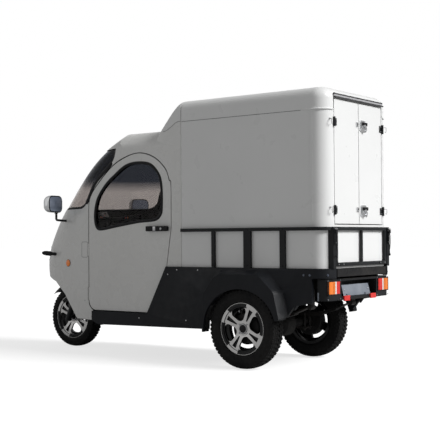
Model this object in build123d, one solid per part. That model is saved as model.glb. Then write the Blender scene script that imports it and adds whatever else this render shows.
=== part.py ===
"""Electric cargo tricycle: an enclosed cab over one steered front wheel, and a closed cargo box with
a stake rail round its foot over two driven rear wheels.

Millimetres. +X is the vehicle's left, -Y its front and +Z up. The ground is z = 0 and the middle
plane x = 0. Every Y below is measured from the rear axle; save() centres the whole on the origin.
"""
import math
import os

from build123d import *

# ---- driving dimensions ------------------------------------------------------------------
WHEELBASE = 1933
REAR_TRACK = 824
CAP_LIP = 3               # the cab and the roof cap stand this far out from the box
CAB_WALL = 28
CAB_LENGTH = 1403         # rear axle to the front edge of a cab door
BOX_HALF = 412            # half width of the cargo box
DOOR_HEAD = 69            # header over the cargo doors
BOX_WALL = 25
BOX_FRONT_Y = -527
BOX_REAR_Y = 606
BOX_CORNER_R = 97
DECK_Z = 652              # top of the deck, where the box stands
RAIL_TOP_Z = 910
SEAM_Z = 1640             # where the roof cap sits on the box walls
ROOF_Z = 1782
ROOF_EDGE_R = 70
SILL_BOTTOM_Z = 230
SILL_TOP_Z = 324
COWL_Z = 1040             # seam between nose and upper cab
CAB_ROOF_Z = 1622
FLOOR_Z = 330
SHEET = 16                # folded floor sheet
PANEL_GAP = 6             # round every door
FIT = 0.3                 # seat of one piece on another
RUN = 0.06                # running clearance of an axle in its hub

# ---- wheels --------------------------------------------------------------------------------
REAR_TYRE_R = 260
REAR_TYRE_W = 124
FRONT_TYRE_R = 235
FRONT_TYRE_W = 108
BEAD_R = 152              # twelve inch rims
FLANGE_R = 168
RIM_WIDTH = 100
SPOKES = 4
SPOKE_T = 20
SPOKE_TURN = 15           # degrees that the first opening stands from upright
HUB_R = 46
REAR_STUB_R = 26
FRONT_AXLE_R = 12

# ---- chassis and fittings ------------------------------------------------------------------
SEAT_FRONT_Y = -1010
SEAT_Z = 606
HEADLAMP_X = 205
HEADLAMP_Z = 735
HEADLAMP_SIZE = (150, 104)
FRAME_X = 262
FRAME_W = 44
FRAME_STEP = 4            # the cross members sit this far inside the side members
FRAME_HIGH_Z = (520, 600)    # side members over the rear axle
BUMPER_DEPTH = 72
BUMPER_Z = (452, 586)
BUMPER_HALF = 400
LAMP_X = (252, 388)
LAMP_Z = (494, 570)
DRUM_R = 104
DIFF_R = 82
MOTOR_R = 62
AXLE_TUBE_R = 34
LEAF_W = 50
LEAF_T = 9
ARCH_HALF = 284           # half length of the opening in the flare
ARCH_TOP_Z = 517
FLARE_X = 500
HINGE_R = 5.5             # barrel of a cab door hinge
HINGE_Z = ((402, 492), (722, 812))
CARGO_HINGE_Z = (1015, 1564)
RAIL_POSTS = ((-253, 24), (22, 55), (293, 38))    # middle and width of each upright
POST_INSET = (74, 44)     # both sides of the corner post, in from the side of the box
GATE_BAR = 14             # thickness of the tailgate

# ---- steering ------------------------------------------------------------------------------
RAKE = 23                 # of the steering axis, degrees from upright
FORK_OFFSET = 44
FORK_LEG_X = 86
UPPER_LEG_R = 17
STEM_R = 18
CROWN_S = 312             # distance of the fork crown from the axle, along the steering axis
HEAD_S = (372, 512)       # ends of the head tube on the same axis
BAR_S = 850
BAR_HALF = 285
BAR_R = 12
MUDGUARD_R = 276

# ---- derived -------------------------------------------------------------------------------
FRONT_Y = -WHEELBASE
TRACK_HALF = REAR_TRACK / 2
CAB_HALF = BOX_HALF + CAP_LIP    # half width of the cab over its doors
CAB_REAR_Y = BOX_FRONT_Y - PANEL_GAP
DOOR_TOP_Z = ROOF_Z - DOOR_HEAD
POST_X = (BOX_HALF - POST_INSET[0], BOX_HALF - POST_INSET[1])
NOSE_Y = -CAB_LENGTH + 73    # where the sides start to round into the nose, at door height
HINGE_X = CAB_HALF - 3
HINGE_Y = -CAB_LENGTH + PANEL_GAP / 2
PANEL_X = BOX_HALF + 20   # outer face of the black lower panels and the rails
DOOR_HALF = BOX_HALF - BOX_CORNER_R + 4
GATE_Y = BOX_REAR_Y + PANEL_GAP + 1
GATE_PIN = (GATE_Y + GATE_BAR / 2, DECK_Z + 16)
LATCH_DEPTH = 18
TUBE = 22
POST_REAR_Y = BOX_REAR_Y + FIT + TUBE
REAR_TIP_Y = POST_REAR_Y + LATCH_DEPTH
FRONT_TIP_Y = FRONT_Y - FRONT_TYRE_R
Y_SHIFT = -(REAR_TIP_Y + FRONT_TIP_Y) / 2
FRAME_LOW_Z = (250, FLOOR_Z - SHEET / 2 - FIT)    # side members under the cab floor
FRAME_REAR_Y = BOX_REAR_Y - 4 - BUMPER_DEPTH - FIT
CARGO_PIN = (DOOR_HALF - 2, BOX_REAR_Y + 8)
MIRROR_HEAD = (475, FRONT_Y + 203, 1105)
STEER_DIR = Vector(0, math.sin(math.radians(RAKE)), math.cos(math.radians(RAKE)))
STEER_SIDE = Vector(0, -math.cos(math.radians(RAKE)), math.sin(math.radians(RAKE)))
FRONT_HUB = Vector(0, FRONT_Y, FRONT_TYRE_R)
STEER_BASE = FRONT_HUB - STEER_SIDE * FORK_OFFSET

# Cab sections, each (height, start of the rounding behind NOSE_Y, nose ahead of the front axle).
CAB_STATIONS = [
    (215, 0, 150), (540, 0, 165), (640, 0, 176), (740, 0, 162), (870, 0, 100), (985, 0, 22),
    (1140, 40, -112), (1300, 160, -250), (1450, 290, -425), (1540, 380, -604), (1640, 490, -850),
]
NOSE_POWER = 2.2          # exponent of the rounding in plan
# Sections of the roof fairing, each (distance ahead of the cab's rear edge, inset from its side, height).
FAIRING_STATIONS = [
    (340, 77, ROOF_Z - 242), (262, 35, ROOF_Z - 222), (200, 11, ROOF_Z - 174), (140, 3, ROOF_Z - 112),
    (85, 1, ROOF_Z - 53), (35, 0.6, ROOF_Z - 11), (0.5, 0.5, ROOF_Z - 0.5),
]
# Its lower edge, each (distance ahead of the cab's rear edge, height over the roof seam).
FAIRING_EDGE = ((-10, 0), (33, 0), (75, -19), (125, -50), (164, -58), (209, -50), (350, 0))
FAIRING_FOOT = SEAM_Z - 175


# ---- helpers -------------------------------------------------------------------------------
def save(name, *solids):
    """Write one node, moved so that the vehicle is centred on the origin."""
    whole = Compound(children=[Pos(0, Y_SHIFT, 0) * s for s in solids]) if len(solids) > 1 else (
        Pos(0, Y_SHIFT, 0) * solids[0])
    export_step(whole, f"parts/{name}.step")


def mirrored(shape):
    """The same shape on the vehicle's right."""
    return mirror(shape, about=Plane.YZ)


def save_pair(name, shape):
    save(f"{name}_left", shape)
    save(f"{name}_right", mirrored(shape))


def side_prism(outline, x0, x1):
    """Extrude a face drawn in (y, z) from x0 to x1."""
    return extrude(Plane.YZ.offset(x0) * outline, amount=x1 - x0)


def polygon(*points):
    return make_face(Polyline(*points, close=True))


def block(x0, x1, y0, y1, z0, z1):
    return Pos((x0 + x1) / 2, (y0 + y1) / 2, (z0 + z1) / 2) * Box(x1 - x0, y1 - y0, z1 - z0)


def rod(start, end, radius):
    """Round bar between two points."""
    start, end = Vector(*start), Vector(*end)
    along = end - start
    return Plane(origin=start, z_dir=along) * Cylinder(
        radius, along.length, align=(Align.CENTER, Align.CENTER, Align.MIN))


def lathe_x(profile):
    """Revolve a face drawn as (x, radius) about the X axis."""
    return revolve(Plane.XY * profile, axis=Axis.X)


# ---- cab form ------------------------------------------------------------------------------
def cab_section(station, slope, inset):
    """Plan outline of the cab at one height: straight sides that round into the nose."""
    z, start, ahead = station
    half = CAB_HALF - inset
    y_start = NOSE_Y + start
    depth = y_start - FRONT_Y + ahead - inset * math.hypot(1, slope)
    steps = 8
    nose = []
    for i in range(2 * steps + 1):
        a = math.pi * i / (2 * steps)
        c, s = math.cos(a), math.sin(a)
        nose.append((math.copysign(half * abs(c) ** (2 / NOSE_POWER), c),
                     y_start - depth * s ** (2 / NOSE_POWER)))
    nose[0], nose[-1] = (half, y_start), (-half, y_start)
    curve = Spline(*nose, tangents=[(0, -1), (0, 1)])
    sides = Polyline((-half, y_start), (-half, CAB_REAR_Y), (half, CAB_REAR_Y), (half, y_start))
    return Plane.XY.offset(z) * make_face(curve + sides)


def crown(inset):
    """Front view of the roof: upright sides, round shoulders and a low crown."""
    half = CAB_HALF - inset
    top, shoulder, ridge = CAB_ROOF_Z - inset, CAB_ROOF_Z - 150 - inset / 2, 110
    outline = (Line((-half, 0), (half, 0)) + Line((half, 0), (half, shoulder))
               + Spline((half, shoulder), (half - 30, shoulder + 70), (half - ridge, top - 26),
                        tangents=[(0, 1), (-1, 0.14)])
               + ThreePointArc((half - ridge, top - 26), (0, top), (ridge - half, top - 26))
               + Spline((ridge - half, top - 26), (30 - half, shoulder + 70), (-half, shoulder),
                        tangents=[(-1, -0.14), (0, -1)])
               + Line((-half, shoulder), (-half, 0)))
    face = Plane.XZ.offset(-CAB_REAR_Y) * make_face(outline)
    return extrude(face, amount=CAB_REAR_Y - FRONT_Y + 400)


def cab_form(inset):
    """Solid bounded by the cab's outer skin, moved inwards by inset."""
    sections = []
    for i, station in enumerate(CAB_STATIONS):
        low, high = CAB_STATIONS[max(i - 1, 0)], CAB_STATIONS[min(i + 1, len(CAB_STATIONS) - 1)]
        slope = (high[2] - low[2]) / (high[0] - low[0])
        sections.append(cab_section(station, slope, inset))
    return loft(sections) & crown(inset)


def door_outline(gap):
    """Side view of a cab door; gap shrinks it all round."""
    front, rear = -CAB_LENGTH + gap, BOX_FRONT_Y - 90 - gap
    low, waist, top = SILL_TOP_Z + 2 + gap, COWL_Z + 48 - gap, COWL_Z + 410 - gap
    heel = rear - 215
    edge = (Line((heel, low), (front + 62, low))
            + ThreePointArc((front + 62, low), (front + 18, low + 22), (front, low + 74))
            + Line((front, low + 74), (front, waist))
            + Spline((front, waist), (front + 51, waist + 119), (front + 146, waist + 210),
                     (front + 258, top - 68), (front + 373, top - 20), (front + 482, top),
                     (rear - 197, top - 18),
                     (rear - 127, top - 52), (rear - 72, top - 97), (rear - 33, top - 151),
                     (rear - 13, top - 205), (rear, top - 280),
                     tangents=[(0, 1), (0, -1)])
            + Polyline((rear, top - 280), (rear, DECK_Z + 270), (rear - 42, DECK_Z), (heel, low)))
    return make_face(edge)


def window_outline(gap):
    """Side view of the pane in a cab door; gap shrinks it all round."""
    front, rear = -CAB_LENGTH + 72 + gap, BOX_FRONT_Y - 182 - gap
    low, high = COWL_Z - 122 + gap, COWL_Z + 332 - gap
    edge = (Spline((front, low + 80), (front + 34, high - 228), (front + 200, high - 74),
                   (front + 337, high - 5), (front + 440, high + 2), (rear - 108, high - 12),
                   (rear - 52, high - 53), (rear - 14, high - 108), (rear, high - 188),
                   tangents=[(0, 1), (0, -1)])
            + Line((rear, high - 188), (rear, low + 130))
            + ThreePointArc((rear, low + 130), (rear - 17, low + 84), (rear - 62, low + 60))
            + Line((rear - 62, low + 60), (rear - 220, low + 50))
            + Line((rear - 220, low + 50), (front + 60, low))
            + ThreePointArc((front + 60, low), (front + 12, low + 20), (front, low + 80)))
    return make_face(edge)


def windscreen_outline(gap):
    """Side view of the screen, which wraps round on to both sides of the cab."""
    rear, low, high = -CAB_LENGTH + 263 - gap, COWL_Z + 26 + gap, COWL_Z + 452 - gap
    ahead, corner = FRONT_Y - 300, low + 398
    edge = (Line((ahead, low), (rear - 365, low))
            + Spline((rear - 365, low), (rear - 285, low + 42), (rear - 240, low + 146),
                     (rear - 145, low + 240), (rear - 62, low + 302), tangents=[(1, 0), (0.83, 0.56)])
            + ThreePointArc((rear - 62, low + 302), (rear - 17, low + 341), (rear, corner))
            + Polyline((rear, corner), (rear, high), (ahead, high), (ahead, low)))
    return make_face(edge)


def nose_lower_cut():
    """Side view of what is open below the nose, round the front wheel."""
    return polygon((FRONT_Y - 400, 0), (FRONT_Y - 400, 566), (FRONT_Y - 38, 557),
                   (FRONT_Y + 109, 525), (FRONT_Y + 180, 482), (FRONT_Y + 251, 435),
                   (FRONT_Y + 333, 345), (FRONT_Y + 403, 262), (FRONT_Y + 575, 257), (FRONT_Y + 575, 0))


OUTER = cab_form(0)
INNER = cab_form(CAB_WALL)
LINING = cab_form(CAB_WALL + FIT)
WIDE = 700                # half width of every cutting prism


def fairing_form():
    """Round-edged ramp from the cab roof to the roof of the box, with all that lies under it."""
    sections = []
    for ahead, inset, top in FAIRING_STATIONS:
        half = CAB_HALF - inset
        face = polygon((-half, FAIRING_FOOT), (half, FAIRING_FOOT), (half, top), (-half, top))
        face = fillet(face.vertices().sort_by(Axis.Y)[-2:], ROOF_EDGE_R)
        sections.append(Plane.XZ.offset(ahead - CAB_REAR_Y) * face)
    return loft(sections)


def over_fairing_edge(lift):
    """Everything over the fairing's lower edge."""
    edge = [(CAB_REAR_Y - ahead, SEAM_Z + rise + lift) for ahead, rise in FAIRING_EDGE]
    top = ROOF_Z + 100
    outline = make_face(Spline(*edge) + Polyline(edge[-1], (edge[-1][0], top), (edge[0][0], top), edge[0]))
    return side_prism(outline, -WIDE, WIDE)


FAIRING = fairing_form()


def cab_skin():
    cavity = INNER & block(-WIDE, WIDE, FRONT_Y - 400, CAB_REAR_Y - CAB_WALL, 0, 2000)
    return OUTER + (FAIRING - over_fairing_edge(0)) - cavity


def nose_and_upper_cab():
    """The two fixed panels of the cab, split at the cowl seam."""
    skin = cab_skin()
    skin -= side_prism(windscreen_outline(0), -WIDE, WIDE)
    skin -= side_prism(door_outline(0), -WIDE, WIDE)
    skin -= side_prism(nose_lower_cut(), -WIDE, WIDE)
    nose_zone = block(-WIDE, WIDE, FRONT_Y - 400, -CAB_LENGTH + 200, 0, COWL_Z)
    foot = block(-WIDE, WIDE, -CAB_LENGTH + 43, CAB_REAR_Y + 1, 0, SILL_TOP_Z + 12)
    nose = (skin & nose_zone) - foot
    for side in (-1, 1):
        nose -= Pos(side * HEADLAMP_X, FRONT_Y + 150, HEADLAMP_Z) * headlamp_cutter(0)
        for z0, z1 in HINGE_Z:
            nose -= rod((side * HINGE_X, HINGE_Y, z0 - 2), (side * HINGE_X, HINGE_Y, z1 + 2), HINGE_R + 1)
        x0, x1 = sorted((side * (CAB_HALF - CAB_WALL - 2), side * (CAB_HALF + 2)))
        nose -= block(x0, x1, HINGE_Y - 11, HINGE_Y + 11, HINGE_Z[0][0] - 2, HINGE_Z[0][1] + 2)
    upper_zone = (block(-WIDE, WIDE, FRONT_Y - 400, CAB_REAR_Y + 1, COWL_Z, 2000)
                  + block(-WIDE, WIDE, -CAB_LENGTH + 400, CAB_REAR_Y + 1, DECK_Z, COWL_Z + 1))
    return nose, skin & upper_zone


def headlamp_cutter(gap):
    """Oval bar that runs forwards through the nose."""
    face = Plane.XZ * Ellipse(HEADLAMP_SIZE[0] / 2 - gap, HEADLAMP_SIZE[1] / 2 - gap)
    return extrude(face, amount=400)


def headlamp():
    bar = Pos(HEADLAMP_X, FRONT_Y + 150, HEADLAMP_Z) * headlamp_cutter(FIT)
    return (bar & OUTER) - cab_form(CAB_WALL + 4)


def windscreen():
    pane = cab_form(6) & side_prism(windscreen_outline(2 * FIT), -WIDE, WIDE)
    return pane - cab_form(12)


def cab_door():
    door = (OUTER - INNER) & side_prism(door_outline(PANEL_GAP), 100, WIDE)
    door -= side_prism(window_outline(0), 100, WIDE)
    for z0, z1 in HINGE_Z:
        door += rod((HINGE_X, HINGE_Y, z0), (HINGE_X, HINGE_Y, z1), HINGE_R)
    return door


def door_glass():
    pane = cab_form(9) & side_prism(window_outline(FIT), 100, WIDE)
    return pane - cab_form(14)


def door_handle():
    """Pull bar on two feet over the door skin."""
    y0, y1, z0, z1 = BOX_FRONT_Y - 302, BOX_FRONT_Y - 113, 895, 931
    x0 = CAB_HALF + FIT
    bar = fillet(block(x0 + 12, x0 + 26, y0, y1, z0, z1).edges().filter_by(Axis.Y), 5)
    feet = [block(x0, x0 + 14, y, y + 34, z0 + 4, z1 - 4) for y in (y0 + 4, y1 - 38)]
    return bar + feet[0] + feet[1]


# ---- inside the cab ------------------------------------------------------------------------
def floor_pan():
    """Toe board, floor, seat box and rear bulkhead, bent from one sheet."""
    well = FRONT_Y + MUDGUARD_R + 40
    path = Polyline((FRONT_Y + 100, 760), (well + 10, 715), (well + 10, 560), (well + 60, FLOOR_Z),
                    (SEAT_FRONT_Y, FLOOR_Z), (SEAT_FRONT_Y, SEAT_Z), (CAB_REAR_Y - 60, SEAT_Z))
    sheet = side_prism(trace(path, line_width=SHEET), -CAB_HALF, CAB_HALF) & LINING
    bulkhead = block(-CAB_HALF, CAB_HALF, CAB_REAR_Y - 60, CAB_REAR_Y - 60 + SHEET, FLOOR_Z - SHEET / 2,
                     DECK_Z - 8) & LINING
    for side in (-1, 1):
        x = side * FRAME_X
        bulkhead -= block(x - FRAME_W, x + FRAME_W, CAB_REAR_Y - 90, CAB_REAR_Y, 0, FLOOR_Z + 70)
    pan = sheet + bulkhead
    return pan - rod(STEER_BASE, STEER_BASE + STEER_DIR * BAR_S, 46)


def seat_cushion():
    y0, y1 = SEAT_FRONT_Y + 20, CAB_REAR_Y - 130
    pad = block(-270, 270, y0, y1, SEAT_Z + 8 + FIT, SEAT_Z + 108)
    return fillet(pad.edges(), 28)


def seat_back():
    y1 = CAB_REAR_Y - CAB_WALL - FIT
    pad = block(-260, 260, y1 - 90, y1, SEAT_Z + 122, SEAT_Z + 560)
    return fillet(pad.edges(), 28)


def dashboard():
    y = FRONT_Y + 90
    body = side_prism(polygon((y + 40, 900), (y + 40, 985), (y + 190, 965), (y + 225, 925), (y + 205, 850),
                              (y + 120, 830)), -CAB_HALF, CAB_HALF)
    return (body & LINING) - rod(STEER_BASE, STEER_BASE + STEER_DIR * BAR_S, 40)


# ---- roof ----------------------------------------------------------------------------------
def roof_fairing():
    """Ramp that carries the air from the cab roof up to the box roof."""
    return (FAIRING & over_fairing_edge(FIT)) - OUTER


def roof_cap():
    """Hollow lid of the cargo box, with the doorway cut out of its rear face."""
    def shell(inset, z0, z1):
        half, corner = BOX_HALF + CAP_LIP - inset, BOX_CORNER_R - inset
        plan = fillet(polygon((-half, BOX_FRONT_Y + inset), (half, BOX_FRONT_Y + inset),
                              (half, BOX_REAR_Y - inset), (-half, BOX_REAR_Y - inset)
                              ).vertices().sort_by(Axis.Y)[-2:], corner)
        body = extrude(Plane.XY.offset(z0) * plan, amount=z1 - z0)
        crest = body.edges().filter_by(lambda e: e.center().Z > z1 - 1 and e.center().Y > BOX_FRONT_Y + 30)
        return fillet(crest, ROOF_EDGE_R - inset * 0.8)
    cap = shell(0, SEAM_Z, ROOF_Z) - shell(BOX_WALL, SEAM_Z - 40, ROOF_Z - BOX_WALL)
    return cap - block(-DOOR_HALF, DOOR_HALF, BOX_REAR_Y - 60, BOX_REAR_Y + 10, SEAM_Z - 1, DOOR_TOP_Z)


# ---- cargo box -----------------------------------------------------------------------------
def box_side():
    """Side wall with its rounded rear corner."""
    x, r, y = BOX_HALF, BOX_CORNER_R, BOX_REAR_Y
    xi, ri = x - BOX_WALL, r - BOX_WALL
    plan = make_face(
        Line((x, BOX_FRONT_Y), (x, y - r)) + RadiusArc((x, y - r), (x - r, y), -r)
        + Polyline((x - r, y), (x - r, y - BOX_WALL))
        + RadiusArc((x - r, y - BOX_WALL), (xi, y - r), ri)
        + Polyline((xi, y - r), (xi, BOX_FRONT_Y), (x, BOX_FRONT_Y)))
    return extrude(Plane.XY.offset(DECK_Z) * plan, amount=SEAM_Z - DECK_Z)


def box_front_wall():
    half = BOX_HALF - BOX_WALL
    return block(-half, half, BOX_FRONT_Y, BOX_FRONT_Y + BOX_WALL, DECK_Z, SEAM_Z)


def box_floor():
    half = BOX_HALF - BOX_WALL
    return (block(-half, half, BOX_FRONT_Y + BOX_WALL, BOX_REAR_Y - BOX_CORNER_R, DECK_Z, DECK_Z + 20)
            + block(-DOOR_HALF + 30, DOOR_HALF - 30, BOX_REAR_Y - BOX_CORNER_R, BOX_REAR_Y - BOX_WALL,
                    DECK_Z, DECK_Z + 20))


def rear_sill_panel():
    """Fixed panel behind the tailgate, under the cargo doors."""
    half = DOOR_HALF - 4
    return block(-half, half, BOX_REAR_Y - BOX_WALL, BOX_REAR_Y, DECK_Z, RAIL_TOP_Z + 14)


def cargo_door():
    """Left leaf."""
    return block(PANEL_GAP / 2, DOOR_HALF - 4 - PANEL_GAP, BOX_REAR_Y - BOX_WALL, BOX_REAR_Y,
                 RAIL_TOP_Z + 20, DOOR_TOP_Z - PANEL_GAP)


def cargo_hinge_leaves():
    """Knuckle and leaf of both hinges, on the left door."""
    x, y = CARGO_PIN
    solids = []
    for z in CARGO_HINGE_Z:
        leaf = block(x - 34, x, BOX_REAR_Y + FIT, BOX_REAR_Y + 4, z - 22, z + 22)
        solids.append(leaf + Pos(x, y, z) * Cylinder(7, 60))
    return solids


def cargo_latches():
    """Paddle latches on the right leaf."""
    solids = []
    for z in CARGO_HINGE_Z:
        plate = block(-88, -14, BOX_REAR_Y + FIT, BOX_REAR_Y + 6, z - 36, z + 36)
        plate = fillet(plate.edges().filter_by(Axis.Y), 12)
        paddle = block(-76, -24, BOX_REAR_Y + 5, BOX_REAR_Y + 20, z - 14, z + 22)
        solids.append(plate + fillet(paddle.edges().filter_by(Axis.Z), 6))
    return solids


def drip_rail():
    """Rain gutter over the doorway."""
    profile = polygon((BOX_REAR_Y + FIT, DOOR_TOP_Z + 2), (BOX_REAR_Y + 16, DOOR_TOP_Z + 2),
                      (BOX_REAR_Y + 16, DOOR_TOP_Z + 8), (BOX_REAR_Y + 8, DOOR_TOP_Z + 12),
                      (BOX_REAR_Y + 8, DOOR_TOP_Z + 30), (BOX_REAR_Y + FIT, DOOR_TOP_Z + 30))
    return side_prism(profile, -DOOR_HALF, DOOR_HALF)


# ---- stake rail, tailgate and lower panels -------------------------------------------------
def side_rail():
    """Top rail that follows the rounded corner, with its posts."""
    inner = BOX_HALF + FIT
    outer = PANEL_X
    y_corner = BOX_REAR_Y - BOX_CORNER_R
    x_corner = BOX_HALF - BOX_CORNER_R
    ri, ro = inner - x_corner, outer - x_corner
    plan = make_face(
        Line((outer, BOX_FRONT_Y), (outer, y_corner)) + CenterArc((x_corner, y_corner), ro, 0, 78)
        + Line((x_corner + ro * math.cos(math.radians(78)), y_corner + ro * math.sin(math.radians(78))),
               (x_corner + ri * math.cos(math.radians(78)), y_corner + ri * math.sin(math.radians(78))))
        + CenterArc((x_corner, y_corner), ri, 78, -78)
        + Polyline((inner, y_corner), (inner, BOX_FRONT_Y), (outer, BOX_FRONT_Y)))
    rail = extrude(Plane.XY.offset(RAIL_TOP_Z - TUBE) * plan, amount=TUBE)
    for y, width in RAIL_POSTS:
        rail += block(inner, outer, y - width / 2, y + width / 2, DECK_Z, RAIL_TOP_Z - TUBE + 1)
    post = block(*POST_X, y_corner + 80, POST_REAR_Y, DECK_Z, RAIL_TOP_Z)
    return rail + (post - rod((x_corner, y_corner, 0), (x_corner, y_corner, ROOF_Z), ri))


def tailgate():
    """Open gate of flat bar between the corner posts, on pins in its lower corners."""
    half, y0, y1 = POST_X[0] - PANEL_GAP, GATE_Y, GATE_Y + GATE_BAR
    gate = block(-half, half, y0, y1, DECK_Z + 14, RAIL_TOP_Z)
    openings = [(-half + TUBE, -8), (8, half - TUBE)]
    for x0, x1 in openings:
        gate -= block(x0, x1, y0 - 1, y1 + 1, DECK_Z + 36, RAIL_TOP_Z - TUBE)
    y, z = GATE_PIN
    return gate + rod((-POST_X[0] + FIT, y, z), (POST_X[0] - FIT, y, z), 4)


def gate_latch():
    """Over-centre latch with its hanging pin, on the corner post."""
    x = sum(POST_X) / 2
    y = POST_REAR_Y
    plate = block(x - 12, x + 12, y + FIT, y + 6, RAIL_TOP_Z - 110, RAIL_TOP_Z - 14)
    lever = rod((x, y + 12, RAIL_TOP_Z - 22), (x, y + 12, RAIL_TOP_Z - 130), 6)
    boss = block(x - 8, x + 8, y + 5, y + LATCH_DEPTH, RAIL_TOP_Z - 40, RAIL_TOP_Z - 18)
    return plate + lever + boss


def flare_outline(scale_in):
    """Side view of the wheel flare; scale_in pulls the outline towards the opening."""
    s = scale_in
    top = DECK_Z - 10 - 0.9 * s
    return make_face(FilletPolyline((-335 + s, 130), (-318 + s, 480), (-215 + s, top), (180 - s, top),
                                    (300 - s, 505), (342 - s, 332), (342 - s, 130), radius=60, close=True))


def lower_panel():
    """Black side panel: sill, skirt, wheel flare and rear quarter."""
    inner = PANEL_X - 24
    rear = BOX_REAR_Y - BOX_CORNER_R
    door_rear = BOX_FRONT_Y - 90
    skirt = polygon((door_rear - 42, DECK_Z), (door_rear - 215, SILL_TOP_Z), (-CAB_LENGTH + 45, SILL_TOP_Z),
                    (-CAB_LENGTH + 45, SILL_BOTTOM_Z + 26), (-CAB_LENGTH + 110, SILL_BOTTOM_Z),
                    (-300, SILL_BOTTOM_Z + 12), (-290, 400), (300, 400), (330, 330), (400, 420), (rear, 440),
                    (rear, DECK_Z))
    panel = side_prism(skirt, inner, PANEL_X)
    x_corner, r = BOX_HALF - BOX_CORNER_R, PANEL_X - (BOX_HALF - BOX_CORNER_R)
    turn, depth = math.radians(84), PANEL_X - inner
    c, s = math.cos(turn), math.sin(turn)
    corner = make_face(
        CenterArc((x_corner, rear), r, 0, 84)
        + Line((x_corner + r * c, rear + r * s), (x_corner + (r - depth) * c, rear + (r - depth) * s))
        + CenterArc((x_corner, rear), r - depth, 84, -84) + Line((inner, rear), (PANEL_X, rear)))
    panel += extrude(Plane.XY.offset(590) * corner, amount=DECK_Z - 590)
    panel += loft([Plane.YZ.offset(PANEL_X - 1) * flare_outline(0),
                   Plane.YZ.offset(FLARE_X) * flare_outline(34)])
    well = Plane.YZ.offset(200) * (Pos(0, REAR_TYRE_R) * Ellipse(ARCH_HALF + 6, ARCH_HALF + 6))
    panel -= extrude(well, amount=FLARE_X - 20 - 200)
    lip = Plane.YZ.offset(200) * (Pos(0, REAR_TYRE_R) * Ellipse(ARCH_HALF, ARCH_TOP_Z - REAR_TYRE_R))
    panel -= extrude(lip, amount=400)
    panel -= block(200, 700, -ARCH_HALF, ARCH_HALF, 0, REAR_TYRE_R)
    return panel & block(0, WIDE, -2000, 2000, SILL_BOTTOM_Z, DECK_Z)


# ---- chassis -------------------------------------------------------------------------------
def chassis_frame():
    """Ladder frame that steps up over the rear axle, with the steering head on its nose."""
    lo, hi = FRAME_LOW_Z, FRAME_HIGH_Z
    knee = CAB_REAR_Y + 20
    nose_y = FRONT_Y + MUDGUARD_R + 70
    side = polygon((nose_y, lo[0]), (knee - 30, lo[0]), (knee + 70, hi[0]), (FRAME_REAR_Y, hi[0]),
                   (FRAME_REAR_Y, hi[1]), (knee + 20, hi[1]), (knee - 80, lo[1]), (nose_y, lo[1]))
    frame = side_prism(side, FRAME_X - FRAME_W / 2, FRAME_X + FRAME_W / 2)
    frame += mirrored(frame)
    for y, z in ((nose_y + 30, lo), (SEAT_FRONT_Y + 60, lo), (knee - 140, lo), (-300, hi), (20, hi),
                 (FRAME_REAR_Y - 30, hi)):
        frame += block(-FRAME_X, FRAME_X, y - 25, y + 25, z[0] + FRAME_STEP, z[1] - FRAME_STEP)
    start, end = (STEER_BASE + STEER_DIR * s for s in HEAD_S)
    neck = side_prism(polygon((nose_y, lo[1]), (nose_y + 60, lo[1]), (nose_y + 60, lo[0] + 10),
                              (nose_y, lo[0] + 10), (end.Y - 4, end.Z - 120), (end.Y + 6, end.Z - 14),
                              (end.Y + 30, end.Z - 20)), -24, 24)
    frame += neck + rod(start, end, 34)
    return frame - rod(start - STEER_DIR * 5, end + STEER_DIR * 5, STEM_R + RUN)


def cargo_deck():
    """Steel tray that the box stands on."""
    half = PANEL_X - 24 - FIT
    tray = block(-half, half, BOX_FRONT_Y - 4, BOX_REAR_Y - BOX_CORNER_R, FRAME_HIGH_Z[1], DECK_Z)
    tray -= block(-half + 40, half - 40, BOX_FRONT_Y + 40, BOX_REAR_Y - BOX_CORNER_R - 40,
                  FRAME_HIGH_Z[1] - 1, DECK_Z - 12)
    beam = polygon((BOX_REAR_Y - BOX_CORNER_R, FRAME_HIGH_Z[1]), (GATE_Y + GATE_BAR, FRAME_HIGH_Z[1]),
                   (GATE_Y + GATE_BAR, DECK_Z - 4), (BOX_REAR_Y, DECK_Z), (BOX_REAR_Y - BOX_CORNER_R, DECK_Z))
    return tray + side_prism(beam, -DOOR_HALF, DOOR_HALF)


def rear_axle():
    """Driven axle: tubes, differential and brake backplates."""
    z = REAR_TYRE_R
    tube_half = TRACK_HALF - 56
    axle = rod((-tube_half, 0, z), (tube_half, 0, z), AXLE_TUBE_R)
    profile = polygon((-90, 0), (-90, 48), (-58, DIFF_R), (42, DIFF_R), (78, 48), (78, 0))
    axle += Pos(0, 0, z) * lathe_x(profile)
    for side in (-1, 1):
        drum = rod((side * (tube_half - 6), 0, z), (side * (TRACK_HALF + 4), 0, z), DRUM_R)
        axle += chamfer(drum.edges(), 8)
        axle += rod((side * tube_half, 0, z), (side * (TRACK_HALF + 40), 0, z), REAR_STUB_R)
    return axle


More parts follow.
